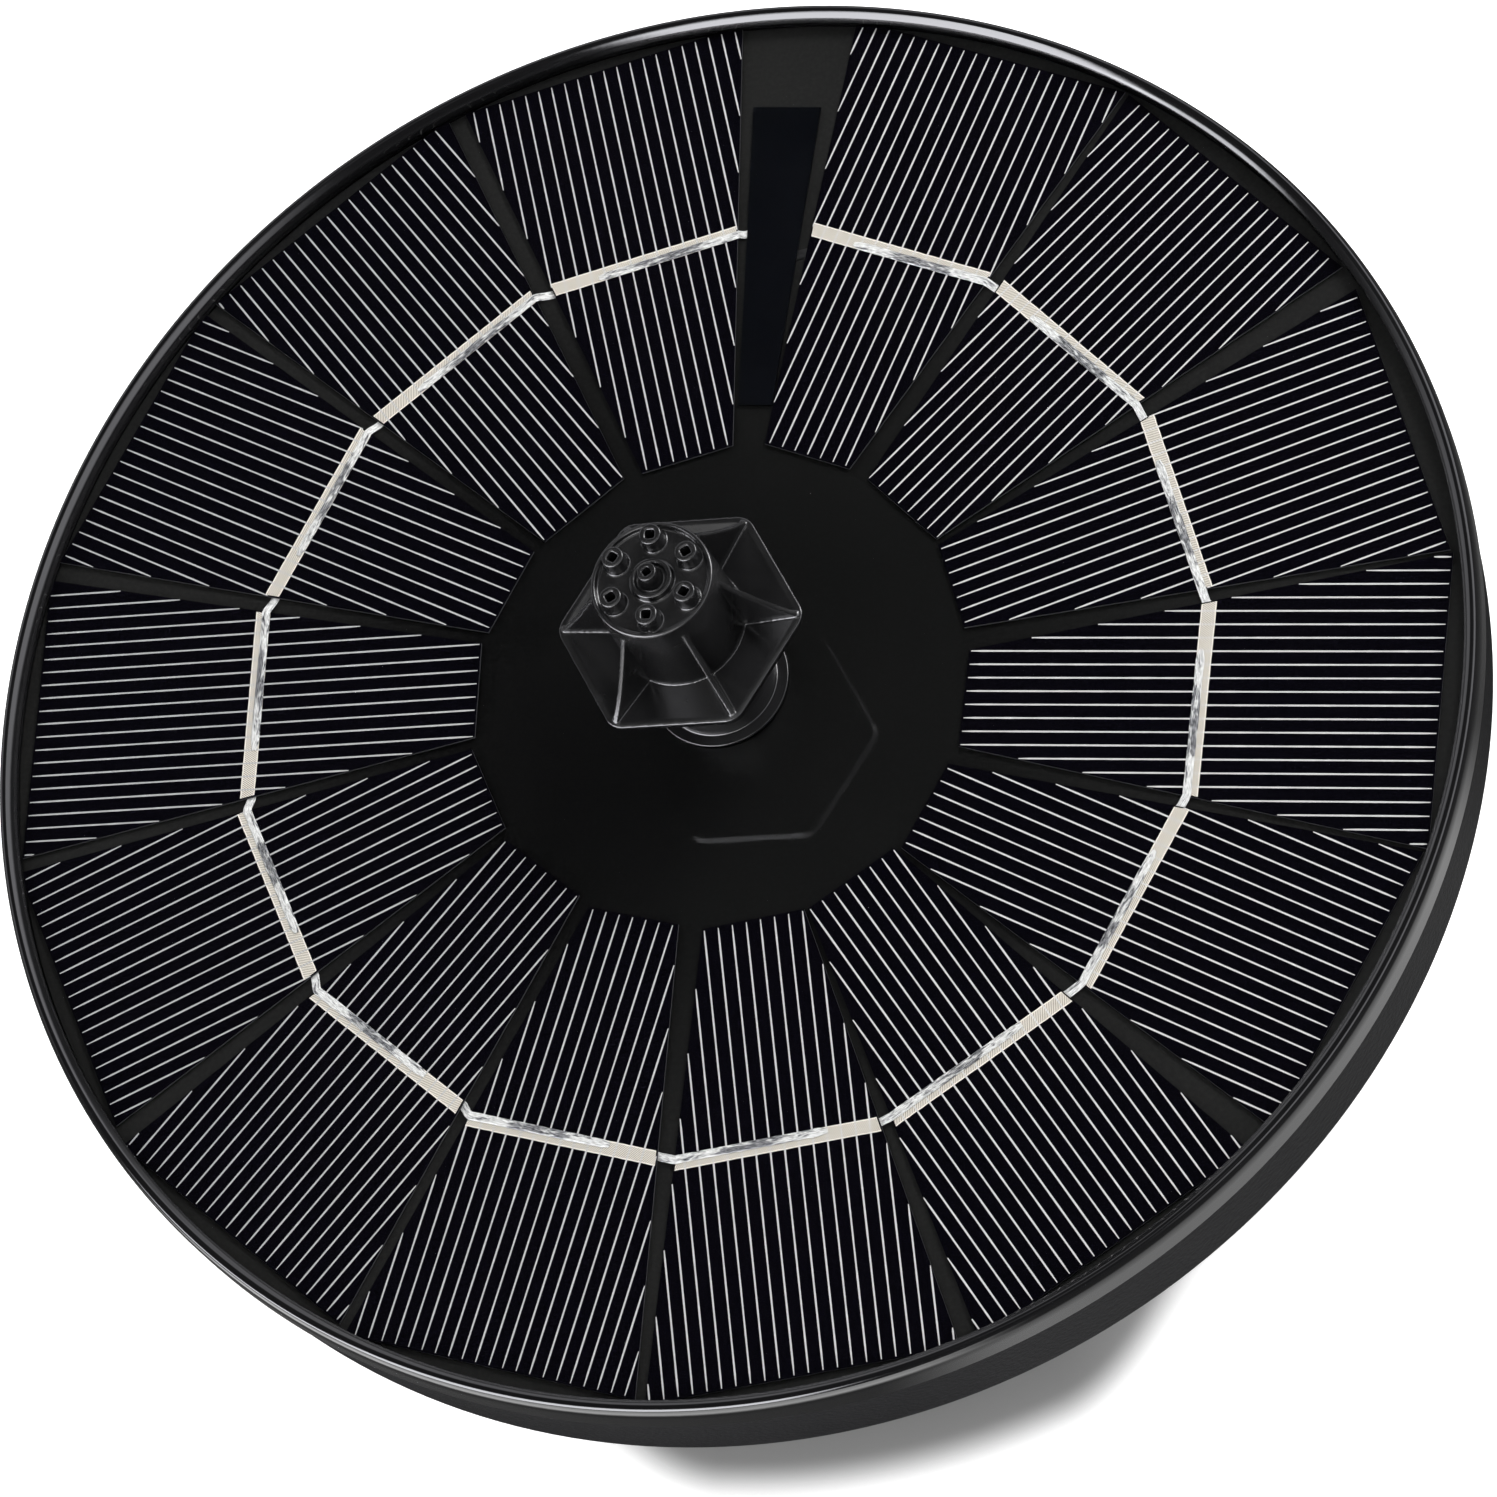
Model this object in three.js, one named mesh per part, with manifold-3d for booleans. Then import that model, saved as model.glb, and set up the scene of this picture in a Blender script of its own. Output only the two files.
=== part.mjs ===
// Floating solar fountain pump: a round solar raft with a jet nozzle in its centre
// and a small submersible pump hanging under it. Millimetres, +Z up along the pump
// axis, origin at the centre of the strainer's underside (the face it stands on).
// A name ending in _Z that holds a pair is a span [lower z, upper z].
import * as THREE from 'three';
import { mergeVertices } from 'three/addons/utils/BufferGeometryUtils.js';
import Module from 'manifold-3d';

const wasm = await Module();
wasm.setup();

const RING_SEG = 48; // facets round the big shells
const MID_SEG = 24; // facets round parts of the pump
const SMALL_SEG = 16; // facets round pins and bushes
const OVER = 1; // how far a cutter runs past the face it opens
const WELD_TOLERANCE = 1e-4;

const MATERIALS = {
  cell: { color: 0x07070f, roughness: 0.35 },
  ribbon: { color: 0xc9ccd0, roughness: 0.3, metalness: 0.9 },
  gapStrip: { color: 0x05060b, roughness: 0.45 },
  redWire: { color: 0xa01515, roughness: 0.5 },
  blackWire: { color: 0x151515, roughness: 0.5 },
  panelBoard: { color: 0x1c1c1c, roughness: 0.5 },
  clearCover: { color: 0xf4f6f8, roughness: 0.05, transparent: true, opacity: 0.2 },
  glossyShell: { color: 0x0a0a0b, roughness: 0.15 },
  texturedShell: { color: 0x2b2b2b, roughness: 0.85 },
  housing: { color: 0x161616, roughness: 0.4 },
  rubber: { color: 0x0c0c0c, roughness: 0.6 },
  statorSteel: { color: 0x8a8d90, roughness: 0.35, metalness: 0.9 },
  copper: { color: 0xb06a2c, roughness: 0.35, metalness: 0.8 },
  controller: { color: 0x1d5a33, roughness: 0.5 },
  shaft: { color: 0xe8e4dc, roughness: 0.2 },
  bush: { color: 0xe0dcd2, roughness: 0.35 },
  magnet: { color: 0x2e2e30, roughness: 0.5, metalness: 0.2 },
  impeller: { color: 0xd9dad6, roughness: 0.45 },
  voluteCover: { color: 0x1a1a1a, roughness: 0.45 },
  sponge: { color: 0x3a3d42, roughness: 0.95 },
  strainer: { color: 0x141414, roughness: 0.5 },
  screw: { color: 0xb9bcc0, roughness: 0.3, metalness: 0.9 },
  nozzleStem: { color: 0x101010, roughness: 0.35 },
  nozzleHead: { color: 0x101010, roughness: 0.3 },
};

// ---------------------------------------------------------------- helpers
const radians = (degrees) => (degrees * Math.PI) / 180;
const polar = (radius, degrees) => [
  radius * Math.cos(radians(degrees)),
  radius * Math.sin(radians(degrees)),
];
const unit = ([x, y]) => [x / Math.hypot(x, y), y / Math.hypot(x, y)];
const repeat = (count, make) => Array.from({ length: count }, (_, k) => make(k));
const union = (solids) => solids.reduce((sum, next) => sum.add(next));
const cut = (body, tools) => tools.reduce((rest, tool) => rest.subtract(tool), body);
const past = ([z0, z1]) => [z0 - OVER, z1 + OVER];

// Turns a closed three.js geometry into a solid, with its triangles facing outward.
function solid(geometry) {
  const bare = geometry.clone();
  bare.deleteAttribute('normal');
  bare.deleteAttribute('uv');
  const welded = mergeVertices(bare, WELD_TOLERANCE);
  const points = welded.attributes.position;
  const corners = welded.index.array;
  const triangles = [];
  let volume = 0;
  for (let i = 0; i < corners.length; i += 3) {
    const [a, b, c] = corners.slice(i, i + 3);
    if (a === b || b === c || a === c) continue;
    triangles.push(a, b, c);
    const [first, second, third] = [a, b, c].map((corner) =>
      new THREE.Vector3().fromBufferAttribute(points, corner));
    volume += first.dot(second.cross(third));
  }
  if (volume < 0) {
    for (let i = 0; i < triangles.length; i += 3) {
      [triangles[i + 1], triangles[i + 2]] = [triangles[i + 2], triangles[i + 1]];
    }
  }
  return new wasm.Manifold(new wasm.Mesh({
    numProp: 3,
    vertProperties: new Float32Array(points.array),
    triVerts: new Uint32Array(triangles),
  }));
}

// Body turned about Z from a list of [radius, z]. A profile that starts on the axis
// also ends there; any other is closed back to its first point.
function turned(profile, segments = MID_SEG) {
  const points = profile.map(([radius, z]) => new THREE.Vector2(radius, z));
  if (profile[0][0] > 0) points.push(points[0].clone());
  return solid(new THREE.LatheGeometry(points, segments).rotateX(Math.PI / 2));
}

function disc(radius, [z0, z1], { at = [0, 0], segments = MID_SEG, topRadius = radius } = {}) {
  return solid(new THREE.CylinderGeometry(topRadius, radius, z1 - z0, segments)
    .rotateX(Math.PI / 2)
    .translate(...at, (z0 + z1) / 2));
}

const ring = (bore, radius, [z0, z1], segments = MID_SEG) =>
  turned([[bore, z0], [radius, z0], [radius, z1], [bore, z1]], segments);

// Box over three spans, turned about the Z axis by `turn` degrees.
function block([x0, x1], [y0, y1], [z0, z1], turn = 0) {
  return solid(new THREE.BoxGeometry(x1 - x0, y1 - y0, z1 - z0)
    .translate((x0 + x1) / 2, (y0 + y1) / 2, (z0 + z1) / 2)
    .rotateZ(radians(turn)));
}

// Box centred on the X axis before it is turned.
const bar = (x, width, z, turn) => block(x, [-width / 2, width / 2], z, turn);

const shapeOf = (outline) => new THREE.Shape(outline.map(([x, y]) => new THREE.Vector2(x, y)));

// Prism over a plan outline.
const prism = (outline, [z0, z1]) =>
  solid(new THREE.ExtrudeGeometry(shapeOf(outline), { depth: z1 - z0, bevelEnabled: false })
    .translate(0, 0, z0));

// ---------------------------------------------------------------- panel levels
const PANEL_Z = 36.0; // top face of the solar cells
const BOARD_Z = [34.15, 35.5];
const [BOARD_FOOT_Z, BOARD_TOP_Z] = BOARD_Z;

// ---------------------------------------------------------------- cells
const CELL_LENGTH = 52.0; // radial height of a cell
const CELL_THICK = 0.25;
const CELL_HALVES = { A: [5.3, 16.85], B: [5.65, 17.0] }; // half widths at inner and outer end
const CELL_CORNER_R = 81.75; // no cell corner reaches past this radius
const MAX_TRIM = 4; // longest trim along either edge of a corner
const TRIM_STEPS = 40; // halvings in the search for the trim
// Every cell is laid by hand: [centre-line direction in degrees, sideways offset
// of the centre line, radius of the cell's middle, cut type].
const CELLS = [
  [64.67, 2.23, 54.18, 'A'], [41.94, -0.08, 53.65, 'B'], [14.45, 1.59, 53.15, 'A'],
  [-7.89, -1.39, 53.36, 'B'], [-30.83, -3.36, 53.9, 'A'], [-58.71, -0.88, 54.23, 'B'],
  [-85.2, 0.66, 54.11, 'B'], [-108.28, -1.69, 53.82, 'A'], [-132.57, -2.33, 53.87, 'B'],
  [-158.74, -1.5, 54.07, 'A'], [176.05, -1.25, 54.05, 'B'], [150.21, -0.75, 54.17, 'A'],
  [125.24, -0.84, 54.2, 'B'], [100.39, -1.5, 54.24, 'A'],
];
const RIBBON_INSET = 0.37; // the ribbon lies this far inward of the cell's middle

// Plan frame of a cell: `along` runs outward on the centre line, `side` to its left.
function cellFrame([direction, offset, middle, type]) {
  const [alongX, alongY] = polar(1, direction);
  const [innerHalf, outerHalf] = CELL_HALVES[type];
  const innerEnd = middle - CELL_LENGTH / 2;
  const outerEnd = middle + CELL_LENGTH / 2;
  const at = (along, side) => [
    alongX * along - alongY * (offset + side),
    alongY * along + alongX * (offset + side),
  ];
  const halfAt = (along) =>
    innerHalf + ((outerHalf - innerHalf) * (along - innerEnd)) / CELL_LENGTH;
  const ribbonAlong = middle - RIBBON_INSET;
  const ribbonHalf = halfAt(ribbonAlong); // half width of the cell at the ribbon
  return { innerHalf, outerHalf, innerEnd, outerEnd, at, halfAt, ribbonAlong, ribbonHalf };
}
const FRAMES = CELLS.map(cellFrame);

// Slides back from an outer corner until the point lies within CELL_CORNER_R.
function trimPoint(pointAt) {
  let outside = 0;
  let inside = MAX_TRIM;
  for (let step = 0; step < TRIM_STEPS; step++) {
    const middle = (outside + inside) / 2;
    if (Math.hypot(...pointAt(middle)) > CELL_CORNER_R) outside = middle;
    else inside = middle;
  }
  return pointAt(inside);
}

// One outer corner of a cell: a single point, or two where it is trimmed.
function outerCorner({ at, halfAt, outerEnd, outerHalf }, side) {
  const corner = at(outerEnd, side * outerHalf);
  if (Math.hypot(...corner) <= CELL_CORNER_R) return [corner];
  const onFlank = trimPoint((back) => at(outerEnd - back, side * halfAt(outerEnd - back)));
  const onEnd = trimPoint((back) => at(outerEnd, side * (outerHalf - back)));
  return side > 0 ? [onFlank, onEnd] : [onEnd, onFlank];
}

function solarCell(cell) {
  const outline = [
    ...outerCorner(cell, 1),
    ...outerCorner(cell, -1),
    cell.at(cell.innerEnd, -cell.innerHalf),
    cell.at(cell.innerEnd, cell.innerHalf),
  ];
  return prism(outline, [PANEL_Z - CELL_THICK, PANEL_Z]);
}

// ---------------------------------------------------------------- ribbons
// Tinned ribbons: on the face of one cell, down through the gap, under the next.
const RIBBON_HALF = 0.95 / 2; // half the ribbon's width
const RIBBON_THICK = 0.15;
const RIBBON_START = 0.5; // ribbon starts at this share of the half width
const RIBBON_TAIL = 4.0; // length soldered under the next cell
const RIBBON_TOP_Z = [PANEL_Z + 0.03, PANEL_Z + 0.03 + RIBBON_THICK];
const RIBBON_LOW_Z = [BOARD_TOP_Z + 0.04, BOARD_TOP_Z + 0.04 + RIBBON_THICK];
const RIBBON_DROP_Z = [RIBBON_LOW_Z[0], RIBBON_TOP_Z[1]];
const LAST_FOLD = 0.25; // past the last cell's edge: near side of the fold
const LAST_TAIL = 1.2; // and end of its tail

// A line across the ribbon, as two points: outer end first.
const ribbonLine = ({ at, ribbonAlong }, side) => [
  at(ribbonAlong + RIBBON_HALF, side),
  at(ribbonAlong - RIBBON_HALF, side),
];
const ribbonPart = (from, to, z) => prism([...from, to[1], to[0]], z);

// Unit vector outward along one flank of a cell.
function flankDirection({ at, innerEnd, outerEnd, innerHalf, outerHalf }, side) {
  const inner = at(innerEnd, side * innerHalf);
  const outer = at(outerEnd, side * outerHalf);
  return unit([outer[0] - inner[0], outer[1] - inner[1]]);
}

// The two sides of the fold in the middle of the gap between a cell and the next.
function gapFold(cell, next) {
  const near = cell.at(cell.ribbonAlong, -cell.ribbonHalf);
  const far = next.at(next.ribbonAlong, next.ribbonHalf);
  const middle = [(near[0] + far[0]) / 2, (near[1] + far[1]) / 2];
  const flank = flankDirection(cell, -1);
  const nextFlank = flankDirection(next, 1);
  const [gapX, gapY] = unit([flank[0] + nextFlank[0], flank[1] + nextFlank[1]]);
  const at = (across, along) => [
    middle[0] + gapY * across + gapX * along,
    middle[1] - gapX * across + gapY * along,
  ];
  return [-RIBBON_THICK / 2, RIBBON_THICK / 2].map((across) =>
    [at(across, RIBBON_HALF), at(across, -RIBBON_HALF)]);
}

// The last cell has no next: its ribbon folds just past its own edge.
const lastFold = (cell) => [LAST_FOLD, LAST_FOLD + RIBBON_THICK].map((beyond) =>
  ribbonLine(cell, -cell.ribbonHalf - beyond));

function ribbon(cell, next) {
  const start = ribbonLine(cell, cell.ribbonHalf * RIBBON_START);
  const [near, far] = next ? gapFold(cell, next) : lastFold(cell);
  const tail = next
    ? ribbonLine(next, next.ribbonHalf - RIBBON_TAIL)
    : ribbonLine(cell, -cell.ribbonHalf - LAST_TAIL);
  return union([
    ribbonPart(start, far, RIBBON_TOP_Z),
    ribbonPart(near, far, RIBBON_DROP_Z),
    ribbonPart(near, tail, RIBBON_LOW_Z),
  ]);
}

// Dark strip in the wide gap, over the place where the leads go down: [x, y].
const STRIP = [[4.68, 71.4], [12.53, 70.1], [6.15, 33.36], [2.35, 33.93]];
const gapStrip = () => prism(STRIP, [BOARD_TOP_Z + 0.25, BOARD_TOP_Z + 0.45]);

// ---------------------------------------------------------------- leads
// Flat tab under the strip, then an insulated wire down to the controller board.
const WIRE_R = 0.7;
const TAB_END_HALF = 0.6; // half width of the tab at the hole
const TAB_CLEARANCE = 0.1; // from the last ribbon's tail to the positive tab
const FIRST = FRAMES[0];
const LAST = FRAMES[FRAMES.length - 1];
const LEADS = [
  {
    name: 'lead_positive',
    hole: [5.3, 52.4],
    tabStart: ribbonLine(LAST, -LAST.ribbonHalf - LAST_TAIL - TAB_CLEARANCE),
    endX: -2.4,
    material: MATERIALS.redWire,
  },
  {
    name: 'lead_negative',
    hole: [8.0, 51.6],
    tabStart: ribbonLine(FIRST, FIRST.ribbonHalf - RIBBON_TAIL),
    endX: 2.4,
    material: MATERIALS.blackWire,
  },
];

function leadTab([holeX, holeY], [outer, inner]) {
  const [runX, runY] = unit([
    holeX - (outer[0] + inner[0]) / 2,
    holeY - (outer[1] + inner[1]) / 2,
  ]);
  const ends = [TAB_END_HALF, -TAB_END_HALF].map((side) =>
    [holeX - runY * side, holeY + runX * side]);
  // the end nearest the inner corner comes first, so the outline doesn't cross itself
  const distance = ([x, y]) => Math.hypot(x - inner[0], y - inner[1]);
  ends.sort((a, b) => distance(a) - distance(b));
  return prism([outer, inner, ...ends], RIBBON_LOW_Z);
}

function leadWire([holeX, holeY], endX) {
  const xAt = (share) => endX + (holeX - endX) * share;
  const stations = [ // x, y, z from the tab down to the controller board
    [holeX, holeY, RIBBON_LOW_Z[1]],
    [holeX, holeY, 34.6],
    [holeX, holeY, 31.4],
    [xAt(0.85), holeY - 3, 28.8],
    [xAt(0.45), 30, 28.0],
    [endX, 17.5, 28.0],
    [endX, 13.2, 27.2],
    [endX, 11.9, 25.6],
  ].map((point) => new THREE.Vector3(...point));
  const extrudePath = new THREE.CatmullRomCurve3(stations, false, 'centripetal');
  const circle = new THREE.Shape().absarc(0, 0, WIRE_R, 0, Math.PI * 2);
  return solid(new THREE.ExtrudeGeometry(circle, { steps: 18, extrudePath, curveSegments: 3 }));
}

const lead = ({ hole, tabStart, endX }) => leadTab(hole, tabStart).add(leadWire(hole, endX));
const leadHoles = (radius, z) =>
  LEADS.map(({ hole }) => disc(radius, z, { at: hole, segments: SMALL_SEG }));

// ---------------------------------------------------------------- board, cover, shells
const BOARD_R = 81.85;
const BOARD_HOLE_R = 7.1;
const COVER_R = 82.0;
const COVER_Z = [PANEL_Z + 0.28, PANEL_Z + 0.6];

const BEAD_R = 83.48; // outside radius of the glossy rim bead
const BEAD_TOP_Z = PANEL_Z + 2.2;
const BEAD_FOOT_Z = 33.65; // lower edge of the skirt that overhangs the wall
// rounded top of the bead, from the outside in: [inward from BEAD_R, below BEAD_TOP_Z]
const BEAD_CURVE = [
  [0, 1.6], [0.02, 1.03], [0.09, 0.66], [0.21, 0.37], [0.36, 0.17],
  [0.57, 0.04], [0.88, 0], [1.28, 0.26], [1.74, 0.8],
];
const FRAME_BORE_R = 5.6;
const FRAME_Z = [32.3, BOARD_FOOT_Z - 0.05]; // floor plate

const WALL_TOP_Z = 33.5;
const WALL_TOP_R = 82.9; // textured side wall, upper end
const WALL_FOOT_R = 82.52; // textured side wall, lower end
const HULL_Z = 22.0; // underside of the hull
const HULL_SKIN = 1.7;
const HULL_HOLE_R = 26.4;
const LEDGE_Z = 33.0; // step inside the hull wall that carries the frame
const BOSS_R = 3.5;
const BOSS_TOP_Z = 30.5;
const BOSS_HOLE_TOP_Z = 29.3;

const SCREW_COUNT = 4;
const SCREW_PITCH_R = 33.3;
const SCREW_TURN = 45;
const SCREW_HOLE_R = 1.75;
const SCREW_PLACES = repeat(SCREW_COUNT, (k) =>
  polar(SCREW_PITCH_R, SCREW_TURN + (360 / SCREW_COUNT) * k));
const atScrews = (radius, z) =>
  SCREW_PLACES.map((at) => disc(radius, z, { at, segments: SMALL_SEG }));

const panelBoard = () =>
  cut(ring(BOARD_HOLE_R, BOARD_R, BOARD_Z, RING_SEG), leadHoles(1.1, past(BOARD_Z)));
const clearCover = () => ring(BOARD_HOLE_R, COVER_R, COVER_Z, RING_SEG);

// Glossy upper shell: floor plate, upstand and rounded rim bead.
function panelFrame() {
  const [floorZ, floorTopZ] = FRAME_Z;
  const shell = turned([
    [FRAME_BORE_R, floorZ], [80.6, floorZ], [80.6, LEDGE_Z + 0.05],
    [82.28, LEDGE_Z + 0.05], [82.28, BEAD_FOOT_Z], [BEAD_R - 0.13, BEAD_FOOT_Z],
    [BEAD_R, BEAD_FOOT_Z + 0.2],
    ...BEAD_CURVE.map(([inward, below]) => [BEAD_R - inward, BEAD_TOP_Z - below]),
    [BEAD_R - 1.83, PANEL_Z + 0.7], [82.2, PANEL_Z + 0.68], [82.2, PANEL_Z + 0.2],
    [81.95, PANEL_Z + 0.15], [81.95, floorTopZ], [FRAME_BORE_R, floorTopZ],
  ], RING_SEG);
  return cut(shell, leadHoles(1.2, past(FRAME_Z)));
}

// Textured lower shell: floor, side wall and the screw bosses.
function hullBowl() {
  const shell = turned([
    [HULL_HOLE_R, HULL_Z], [56, HULL_Z], [56.4, HULL_Z - 0.8], [58.6, HULL_Z - 0.8],
    [59, HULL_Z], [80.9, HULL_Z], [81.75, HULL_Z + 0.3], [82.35, HULL_Z + 0.95],
    [WALL_FOOT_R, HULL_Z + 1.8], [WALL_TOP_R, WALL_TOP_Z], [82.42, WALL_TOP_Z],
    [82.42, LEDGE_Z], [81.0, LEDGE_Z], [80.8, HULL_Z + 2.8],
    [79.7, HULL_Z + HULL_SKIN], [HULL_HOLE_R, HULL_Z + HULL_SKIN],
  ], RING_SEG);
  return cut(
    union([shell, ...atScrews(BOSS_R, [HULL_Z + 0.5, BOSS_TOP_Z])]),
    atScrews(SCREW_HOLE_R, [HULL_Z - OVER, BOSS_HOLE_TOP_Z]),
  );
}

// ---------------------------------------------------------------- pump housing
const RISER_ANGLE = -28.6; // direction of the riser from the pump axis, degrees
const RISER_DIST = 20.6;
const RISER_R = 2.8;
const RISER_OUTER_R = RISER_R + 1.4;
const RISER_AT = polar(RISER_DIST, RISER_ANGLE);
const HOUSING_R = 26.0;
const HOUSING_BORE_R = HOUSING_R - 1.6;
const FLANGE_R = 37.5;
const FLANGE_Z = [19.8, 21.95];
const LOCATING_R = 27.6;
const DECK_Z = [14.0, 15.4];
const [DECK_FOOT_Z, DECK_TOP_Z] = DECK_Z;
const HOUSING_TOP_Z = 26.6;
const WELL_R = 6.4;
const WELL_WALL = 1.4;
const WELL_TOP_Z = 25.6;
const POCKET_R = 15.6;
const POCKET_WALL = 1.5;
const CHAMBER_R = 13.0;
const CHAMBER_Z = 9.2;
const CHAMBER_WALL = 1.5;
const CHANNEL_FLOOR = 1.0; // the channel starts this far above the chamber's foot

// Tangential channel: straight along +X to the riser, where it ends in a disc.
const channel = (half, z, discZ = z) => [
  block([0, RISER_AT[0]], [RISER_AT[1] - half, RISER_AT[1] + half], z),
  disc(half, discZ, { at: RISER_AT, segments: SMALL_SEG }),
];

function pumpHousing() {
  const [flangeFootZ, flangeTopZ] = FLANGE_Z;
  const chamberOuterZ = [CHAMBER_Z, DECK_FOOT_Z + 0.5];
  const channelZ = CHAMBER_Z + CHANNEL_FLOOR;
  const aboveDeckZ = [DECK_TOP_Z - 0.3, HOUSING_TOP_Z];
  const body = union([
    turned([ // deck, outer skirt, locating ring and flange with its seal groove
      [HOUSING_BORE_R, 9.6], [HOUSING_R, 9.6], [HOUSING_R, 16.0], [LOCATING_R, 16.4],
      [LOCATING_R, flangeFootZ], [FLANGE_R, flangeFootZ], [FLANGE_R, flangeTopZ],
      [30.3, flangeTopZ], [30.3, 20.65], [28.1, 20.65], [28.1, flangeTopZ],
      [HOUSING_R, flangeTopZ], [HOUSING_R, 24.2], [HOUSING_BORE_R, 24.2],
      [HOUSING_BORE_R, DECK_TOP_Z], [2, DECK_TOP_Z], [2, DECK_FOOT_Z],
      [HOUSING_BORE_R, DECK_FOOT_Z],
    ]),
    ring(POCKET_R, POCKET_R + POCKET_WALL, aboveDeckZ),
    disc(WELL_R + WELL_WALL, [DECK_FOOT_Z, HOUSING_TOP_Z]),
    disc(RISER_OUTER_R, aboveDeckZ, { at: RISER_AT, segments: SMALL_SEG }),
    union([
      disc(CHAMBER_R + CHAMBER_WALL, chamberOuterZ),
      ...channel(RISER_R + CHAMBER_WALL, chamberOuterZ),
    ]),
  ]);
  return cut(body, [
    disc(CHAMBER_R, [CHAMBER_Z - OVER, DECK_FOOT_Z]),
    ...channel(RISER_R, [channelZ, DECK_FOOT_Z], [channelZ, HOUSING_TOP_Z + OVER]),
    disc(WELL_R, [DECK_FOOT_Z - OVER, WELL_TOP_Z]),
    ...atScrews(SCREW_HOLE_R, past(FLANGE_Z)),
  ]);
}

// Crossover duct from the riser to the centre, with the spigot that carries the nozzle.
const SPIGOT_R = 5.0;
const SPIGOT_BORE_R = 3.2;
const SPIGOT_TOP_Z = 42.0;
const DUCT_HUB_R = 7.4;
const DUCT_Z = [HOUSING_TOP_Z + 0.05, 31.9];
const DUCT_BORE_Z = [27.9, 30.9];

function outletDuct() {
  const riserEnd = { at: RISER_AT, segments: SMALL_SEG };
  const [boreFootZ, boreTopZ] = DUCT_BORE_Z;
  return cut(union([
    disc(DUCT_HUB_R, DUCT_Z),
    bar([0, RISER_DIST], 2 * RISER_OUTER_R, DUCT_Z, RISER_ANGLE),
    disc(RISER_OUTER_R, DUCT_Z, riserEnd),
    disc(SPIGOT_R, [31.0, SPIGOT_TOP_Z]),
  ]), [
    bar([0, RISER_DIST], 2 * RISER_R, DUCT_BORE_Z, RISER_ANGLE),
    disc(RISER_R, [HOUSING_TOP_Z - OVER, boreTopZ], riserEnd),
    disc(SPIGOT_BORE_R, [boreFootZ, SPIGOT_TOP_Z + OVER]),
  ]);
}

const outletSeal = () =>
  turned([[5.15, 34.2], [6.9, 34.2], [6.9, 35.6], [6.5, 36.05], [5.6, 36.05], [5.15, 35.6]]);

const SEAL = { pitchRadius: 29.2, z: 21.32, sectionRadius: 0.58, facets: 8 };
const housingSeal = () => turned(repeat(SEAL.facets, (k) => {
  const [outward, up] = polar(SEAL.sectionRadius, (360 / SEAL.facets) * k);
  return [SEAL.pitchRadius + outward, SEAL.z + up];
}));

// ---------------------------------------------------------------- motor
// Four-pole stator: outer yoke, four inward poles with shoes round the well.
const POLE_COUNT = 4;
const POLE_ANGLES = repeat(POLE_COUNT, (k) => 16.4 + (360 / POLE_COUNT) * k);
const STATOR_Z = [16.6, 22.4];
const SHOE = { innerRadius: 8.05, outerRadius: 9.3, halfAngle: 33, steps: 6 };

function poleShoe(angle) {
  const arc = (radius) => repeat(SHOE.steps + 1, (k) =>
    polar(radius, angle - SHOE.halfAngle + ((2 * SHOE.halfAngle) / SHOE.steps) * k));
  return prism([...arc(SHOE.outerRadius), ...arc(SHOE.innerRadius).reverse()], STATOR_Z);
}

const statorCore = () => union([
  ring(12.7, 15.3, STATOR_Z),
  ...POLE_ANGLES.map((angle) => bar([8.9, 13.6], 3.0, STATOR_Z, angle)),
  ...POLE_ANGLES.map(poleShoe),
]);

const coil = (angle) => cut(
  bar([9.55, 11.85], 6.8, [15.55, 23.45], angle),
  [bar([9, 12.5], 3.3, [16.4, 22.6], angle)],
);

// Ring-shaped board with three raised blocks on it.
const controllerBoard = () => union([
  ring(8.1, 15.2, [23.9, 24.9]),
  block([-5.6, -2.0], [10.6, 13.2], [24.8, 25.9], 68),
  block([-1.5, 2.5], [-13.4, -10.4], [24.8, 26.0]),
  block([10.3, 12.4], [-1.6, 1.6], [24.8, 25.8], 200),
]);

// Rotor: ferrite ring pressed on the impeller's tube, turning on a fixed ceramic shaft.
const SHAFT_R = 1.0;
const BUSH_BORE_R = 1.06;
const MAGNET_R = 5.7;
const TUBE_R = 2.6;
const TUBE_Z = [9.9, 23.9];
const IMPELLER_R = 11.0;
const BLADE = {
  count: 6,
  rootRadius: 2.2,
  tipRadius: IMPELLER_R - 0.4,
  z: [9.7, 12.6],
  sweep: 46, // degrees the tip trails the root
  spread: 57, // degrees times radius: about 1 mm of thickness at every radius
  steps: 4,
};

const shaft = () => disc(SHAFT_R, [7.1, 25.3], { segments: SMALL_SEG });
const topBush = () => ring(BUSH_BORE_R, 2.9, [24.3, 25.5], SMALL_SEG);
const rotorMagnet = () => ring(2.75, MAGNET_R, [13.7, 23.5]);

function blade(k) {
  const face = (spread) => repeat(BLADE.steps + 1, (j) => {
    const share = j / BLADE.steps;
    const radius = BLADE.rootRadius + (BLADE.tipRadius - BLADE.rootRadius) * share;
    const angle = (360 / BLADE.count) * k - BLADE.sweep * share * share + spread / radius;
    return polar(radius, angle);
  });
  return prism([...face(0), ...face(BLADE.spread).reverse()], BLADE.z);
}

const impeller = () => cut(union([
  disc(IMPELLER_R, [12.4, 13.4]),
  disc(TUBE_R, TUBE_Z, { segments: SMALL_SEG }),
  ...repeat(BLADE.count, blade),
]), [disc(BUSH_BORE_R, past(TUBE_Z), { segments: SMALL_SEG })]);

// Snap-on volute cover with the inlet eye and a three-arm bearing carrier.
const PLATE_R = 16.0;
const PLATE_Z = [7.4, 8.9];
const [PLATE_FOOT_Z, PLATE_TOP_Z] = PLATE_Z;
const INLET_R = 5.6;

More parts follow.
